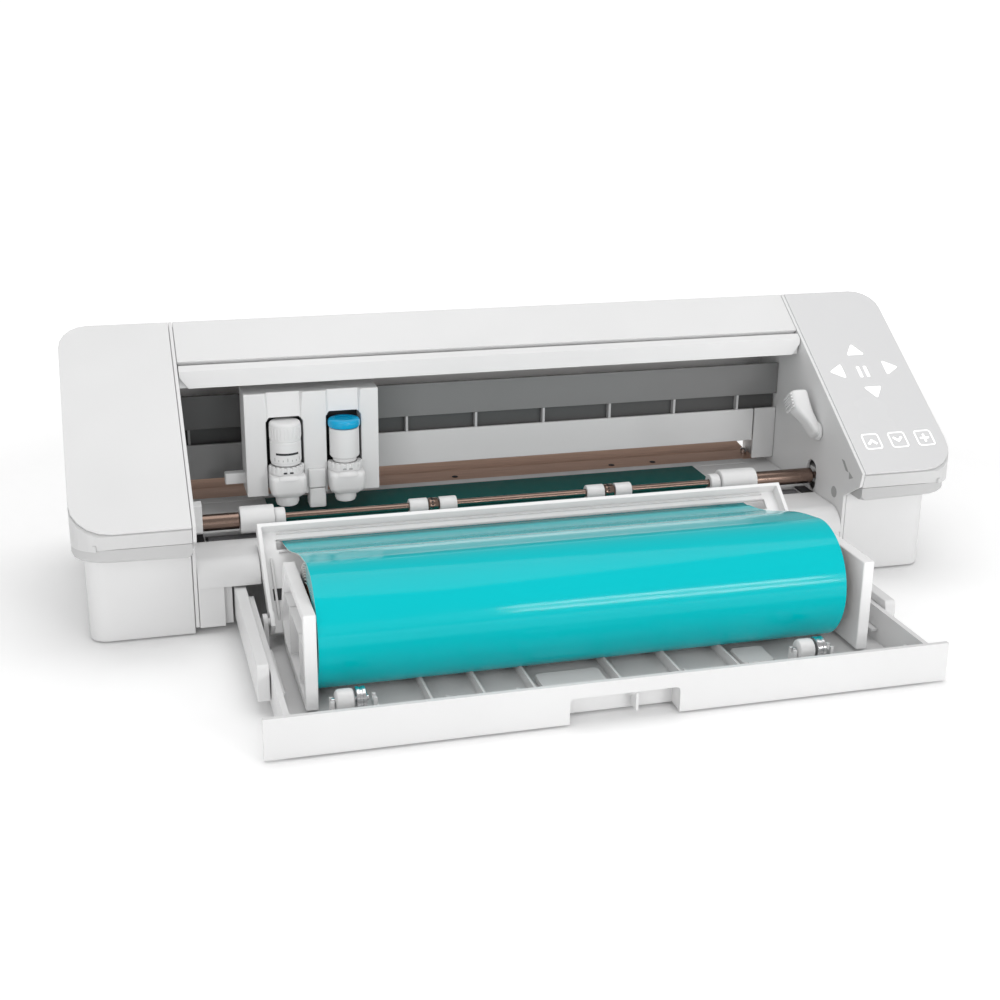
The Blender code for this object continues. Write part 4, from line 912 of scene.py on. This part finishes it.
def build_drawer():
    """Mouldings on the drawer's floor, behind its front and on its walls."""
    pads = bmesh.new()
    for x, y, top in (((-35.8, 2.2), (-211.0, -191.0), 7.2), ((86.0, 106.0), (-207.0, -186.0), 7.2),
                      ((-172.0, -132.0), (-236.0, -222.0), 6.4), ((136.0, 172.0), (-236.0, -214.0), 6.4)):
        extruded(rounded_outline((x[0], y[0]), (x[1], y[1]), 3.0), "Z", 3.3, top, pads)
    add_piece("drawer_pads", pads, "drawer", bright(), soft=0.5)
    ribs = bmesh.new()
    for x in (-130.0, -100.4, -70.8, -42.0, 8.0, 44.0, 80.0, 132.0):
        back = -150.0 if abs(x) < 105.0 else -208.0
        side = [(-241.5, 3.2), (back, 3.2), (back, 5.0), (min(back - 2.0, -178.0), 9.6), (-214.0, 10.4),
                (-222.0, 7.6), (-232.0, 7.6), (-241.5, 14.0)]
        extruded(side, "X", x - 0.8, x + 0.8, ribs)
    block((-178.0, 178.0), (-227.6, -226.4), (3.2, 6.2), ribs)
    add_piece("drawer_floor_ribs", ribs, "drawer", bright(), soft=0.3)
    studs = bmesh.new()
    for x, y in ((-176.0, -231.0), (176.0, -231.0), (164.0, -222.0)):
        turned([(0, 9.2), (1.6, 9.2), (2.4, 8.6), (3.0, 7.2), (3.2, 3.2), (0, 3.2)], "Z", (x, y), 24, studs)
    add_piece("drawer_studs", studs, "drawer", bright())
    shelf = bmesh.new()
    for sign in (-1, 1):
        block(tuple(sorted((sign * 180.6, sign * 176.8))), (-190.0, -132.0), (10.0, 11.6), shelf)
        block(tuple(sorted((sign * 180.6, sign * 178.6))), (-226.0, -223.5), (3.2, 16.0), shelf)
    add_piece("drawer_wall_ribs", shelf, "drawer", bright(), soft=0.3)


def build_guide_frame():
    """Slot lip, stiffening ribs and the square opening of the tilting media guide."""
    details = bmesh.new()
    for low, high in ((76.2, 77.2), (62.8, 63.8)):
        corners = [on_frame(low, -7.5), on_frame(high, -7.5), on_frame(high, -6.1), on_frame(low, -6.1)]
        extruded(corners, "X", -163.0, 163.0, details)
    for x in (-168.5, 168.5):
        corners = [on_frame(16.0, -7.5), on_frame(60.0, -7.5), on_frame(58.0, -5.0), on_frame(20.0, -5.0)]
        extruded(corners, "X", x - 0.7, x + 0.7, details)
    add_piece("guide_ribs", details, "guide_frame", bright(), soft=0.25)
    # The square opening is a thin near-black patch on the frame: painted shade for the hole.
    hole = [on_frame(30.0, -7.3), on_frame(38.0, -7.3), on_frame(38.0, -7.15), on_frame(30.0, -7.15)]
    for side, low, high in (("left", -170.0, -164.5), ("right", 164.5, 170.0)):
        add_piece(f"guide_hole_{side}", extruded(hole, "X", low, high), "guide_frame", dark())


def build_side_plates():
    """Ribs on the outer face of each folding plate."""
    for side, sign in (("left", -1), ("right", 1)):
        ribs = bmesh.new()
        inner_face, outer_face = sign * 162.3, sign * 167.0
        low, high = sorted((inner_face, outer_face))
        for start, end in (((-196.0, 40.0), (-118.0, 40.0)), ((-178.0, 12.0), (-178.0, 40.0)),
                           ((-140.0, 12.0), (-140.0, 40.0))):
            (y0, z0), (y1, z1) = start, end
            block((low, high), (y0 - 0.6, y1 + 0.6), (z0 - 0.6, z1 + 0.6), ribs)
        add_piece(f"side_plate_ribs_{side}", ribs, f"side_plate_{side}", bright(), soft=0.3)


def build_feed_rollers():
    """White rounded wheels with a chrome ring beside each."""
    for side, start in (("left", -153.0), ("right", 116.4)):
        body = f"feed_roller_{side}"
        wheel = [(1.7, start), (4.6, start), (5.8, start + 0.8), (6.2, start + 2.2), (6.2, start + 8.0),
                 (5.8, start + 9.4), (4.6, start + 10.2), (1.7, start + 10.2)]
        piece = add_piece(f"feed_wheel_{side}", turned(wheel + wheel[:1], "X", FEED_ROLLER), body, pale())
        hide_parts(f"feed_roller_{side}")
        ring = [(1.7, start + 11.0), (6.2, start + 11.0), (6.6, start + 11.4), (6.6, start + 12.8),
                (6.1, start + 13.1), (6.1, start + 14.3), (6.6, start + 14.6), (6.6, start + 16.0),
                (6.2, start + 16.4), (1.7, start + 16.4)]
        add_piece(f"feed_ring_{side}", turned(ring + ring[:1], "X", FEED_ROLLER), body, steel())
        axle = [(0, start - 2), (1.6, start - 2), (1.6, start + 18), (0, start + 18)]
        add_piece(f"feed_axle_{side}", turned(axle, "X", FEED_ROLLER, 24), body, steel())


# ---------------------------------------------------------------- media

def sheet(name, path, body, replaced):
    """A thin sheet that follows a path in (y, z): coloured film outside, paper backing inside."""
    bm = bmesh.new()
    count = len(path)
    normals = []
    for i in range(count):
        before, after = Vector(path[max(i - 1, 0)]), Vector(path[min(i + 1, count - 1)])
        run = (after - before).normalized()
        normals.append((run.y, -run.x))
    stations = [FILM_LEFT + (FILM_RIGHT - FILM_LEFT) * i / 24 for i in range(25)]
    layers = []
    for offset in (0.0, -SHEET):
        layers.append([[bm.verts.new((x, p[0] + n[0] * offset, p[1] + n[1] * offset)) for x in stations]
                       for p, n in zip(path, normals)])
    for layer, surface in zip(layers, (0, 1)):
        for first, second in zip(layer, layer[1:]):
            for i in range(len(stations) - 1):
                face = bm.faces.new((first[i], first[i + 1], second[i + 1], second[i]))
                face.material_index = surface
    top, under = layers
    rims = [([row[0] for row in top], [row[0] for row in under]), ([row[-1] for row in top], [row[-1] for row in under]),
            (top[0], under[0]), (top[-1], under[-1])]
    for first, second in rims:
        for i in range(len(first) - 1):
            face = bm.faces.new((first[i], first[i + 1], second[i + 1], second[i]))
            face.material_index = 1
    piece = add_piece(name, bm, body, teal())
    piece.data.materials.append(shade("release_paper", paper, (0.86, 0.86, 0.84), 0.6))
    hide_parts(replaced)


def build_media():
    """The loosely wound roll on its card core, and the web that runs over the bed."""
    turns, inner_radius = 8.0, 22.5
    steps = int(turns * 56)
    slot = on_frame(69.4, -7.4)
    web_radius = ROLL_RADIUS + 0.3
    reach = math.hypot(ROLL[0] - slot[0], ROLL[1] - slot[1])
    leave = math.atan2(slot[1] - ROLL[1], slot[0] - ROLL[0]) + math.acos(web_radius / reach)
    spiral = []
    for i in range(steps + 1):
        share = i / steps
        angle = leave + math.radians(WRAP) + 2 * math.pi * turns * (1 - share)
        radius = inner_radius + (ROLL_RADIUS - inner_radius) * share ** 0.8
        spiral.append((ROLL[0] + radius * math.cos(angle), ROLL[1] + radius * math.sin(angle)))
    sheet("wound_film", spiral[::-1], "roll", "vinyl_roll")
    low, high = FILM_LEFT + 0.4, FILM_RIGHT - 0.4
    core = [(19.0, low), (21.8, low), (21.8, high), (19.0, high)]
    add_piece("card_core", turned(core + core[:1], "X", ROLL), "roll", shade("card", paper, (0.19, 0.10, 0.06)))
    path = [(39.0, BED_Z + 0.9), (20.0, BED_Z + 0.85), (0.0, BED_Z + 0.8), (-20.0, BED_Z + 0.8),
            (-34.0, BED_Z + 0.85), (-38.0, BED_Z + 1.1), (-44.0, BED_Z + 1.7), (-52.0, BED_Z + 3.0),
            (slot[0] + 2.0, slot[1] - 0.8), slot]
    touch = (ROLL[0] + web_radius * math.cos(leave), ROLL[1] + web_radius * math.sin(leave))
    run = 24
    for i in range(1, run):
        share = i / run
        sway = -math.sin(2 * math.pi * share) * 1.3
        path.append((slot[0] + (touch[0] - slot[0]) * share, slot[1] + (touch[1] - slot[1]) * share + sway))
    for i in range(WRAP // 2 + 1):
        angle = leave + math.radians(i * 2.0)
        path.append((ROLL[0] + web_radius * math.cos(angle), ROLL[1] + web_radius * math.sin(angle)))
    sheet("film_web", path, "media", "vinyl_web")


# ---------------------------------------------------------------- stage

def build_floor():
    bm = bmesh.new()
    corners = [bm.verts.new((x, y, 0.0)) for x, y in ((-9000, -9000), (9000, -9000), (9000, 9000), (-9000, 9000))]
    bm.faces.new(corners)
    graph = Graph("floor")
    speck = graph.noise(90.0, 3.0)
    # The floor's glow fades near the machine, from ambient occlusion: a painted contact shadow.
    near = graph.add("ShaderNodeAmbientOcclusion", samples=8)
    near.inputs["Distance"].default_value = 0.16
    paper_white = graph.mix(graph.spread(speck, 0.0, 1.0), (0.93, 0.93, 0.93), (0.95, 0.95, 0.95))
    distance = graph.add("ShaderNodeVectorMath", operation="LENGTH")
    graph.feed(distance, 0, graph.place)
    far = graph.spread(distance.outputs["Value"], 0.24, 1.0, 0.5, 1.6)
    glow = graph.math("MULTIPLY", graph.spread(near.outputs["AO"], 0.0, 1.0, 0.35, 0.95), far)
    material = graph.output(Base_Color=paper_white, Roughness=0.9, Emission_Color=(1.0, 1.0, 1.0),
                            Emission_Strength=glow)
    floor = add_piece("floor", bm, None, material)


def build_world():
    world = bpy.data.worlds.new("studio")
    bpy.context.scene.world = world
    world.use_nodes = True
    nodes, links = world.node_tree.nodes, world.node_tree.links
    background = nodes["Background"]
    background.inputs["Color"].default_value = (1.0, 1.0, 1.0, 1.0)
    path = nodes.new("ShaderNodeLightPath")
    strength = nodes.new("ShaderNodeMapRange")
    strength.inputs["To Min"].default_value = 0.47
    strength.inputs["To Max"].default_value = 1.05
    links.new(path.outputs["Is Camera Ray"], strength.inputs["Value"])
    links.new(strength.outputs["Result"], background.inputs["Strength"])


def add_light(name, place, target, size, power):
    data = bpy.data.lights.new(name, "AREA")
    data.shape = "RECTANGLE"
    data.size, data.size_y = size
    data.energy = power
    light = bpy.data.objects.new(name, data)
    bpy.context.scene.collection.objects.link(light)
    light.location = place
    light.rotation_euler = (Vector(target) - Vector(place)).to_track_quat("-Z", "Y").to_euler()


def add_strip(name, start, end, target, width, power):
    """A thin light along a line, given in millimetres from the body's middle, facing a target."""
    first, second, goal = (TO_FRAME @ Vector(point) for point in (start, end, target))
    data = bpy.data.lights.new(name, "AREA")
    data.shape = "RECTANGLE"
    data.size, data.size_y = (second - first).length, width
    data.energy = power
    light = bpy.data.objects.new(name, data)
    bpy.context.scene.collection.objects.link(light)
    middle = (first + second) / 2
    along = (second - first).normalized()
    back = middle - goal
    back = (back - along * back.dot(along)).normalized()
    turn = Matrix((along, back.cross(along), back)).transposed().to_4x4()
    light.matrix_world = Matrix.Translation(middle) @ turn


def build_lights():
    add_light("top_softbox", (0.1, 0.1, 1.7), (0, 0, 0), (1.8, 1.2), 10.5)
    add_light("key_softbox", (-1.1, -1.7, 0.9), (0, 0, 0.05), (1.2, 1.0), 7.0)
    add_light("front_softbox", (0.5, -2.2, 0.5), (0, 0, 0.05), (1.6, 0.6), 1.5)
    for name, height in (("upper", 470.0), ("lower", 300.0)):
        add_strip(f"strip_{name}", (250.0, -1312.0, height), (690.0, -1234.0, height - 40.0), (63.0, -198.0, 51.0),
                  0.09, 1.8)


def build_camera():
    data = bpy.data.cameras.new("camera")
    data.lens = CAMERA_LENS
    data.sensor_width = 36.0
    data.clip_start = 0.01
    camera = bpy.data.objects.new("camera", data)
    bpy.context.scene.collection.objects.link(camera)
    forward = Vector((math.sin(CAMERA_YAW) * math.cos(CAMERA_PITCH), math.cos(CAMERA_YAW) * math.cos(CAMERA_PITCH),
                      -math.sin(CAMERA_PITCH)))
    level = forward.cross(Vector((0, 0, 1))).normalized()
    above = level.cross(forward)
    right = level * math.cos(CAMERA_ROLL) + above * math.sin(CAMERA_ROLL)
    up = right.cross(forward)
    turn = Matrix((right, up, -forward)).transposed().to_4x4()
    camera.matrix_world = Matrix.Translation(TO_FRAME @ Vector(CAMERA_PLACE)) @ turn
    bpy.context.scene.camera = camera


def main():
    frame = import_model()
    dress_nodes(frame["nodes"])
    build_panel_print()
    build_carriage()
    build_tools()
    build_clamps()
    build_pinch_rollers()
    build_lever()
    build_bay()
    build_corner_ribs()
    build_back()
    build_drawer()
    build_guide_frame()
    build_side_plates()
    build_feed_rollers()
    build_media()
    build_floor()
    build_world()
    build_lights()
    build_camera()
    bpy.context.scene.view_settings.view_transform = "Standard"


main()
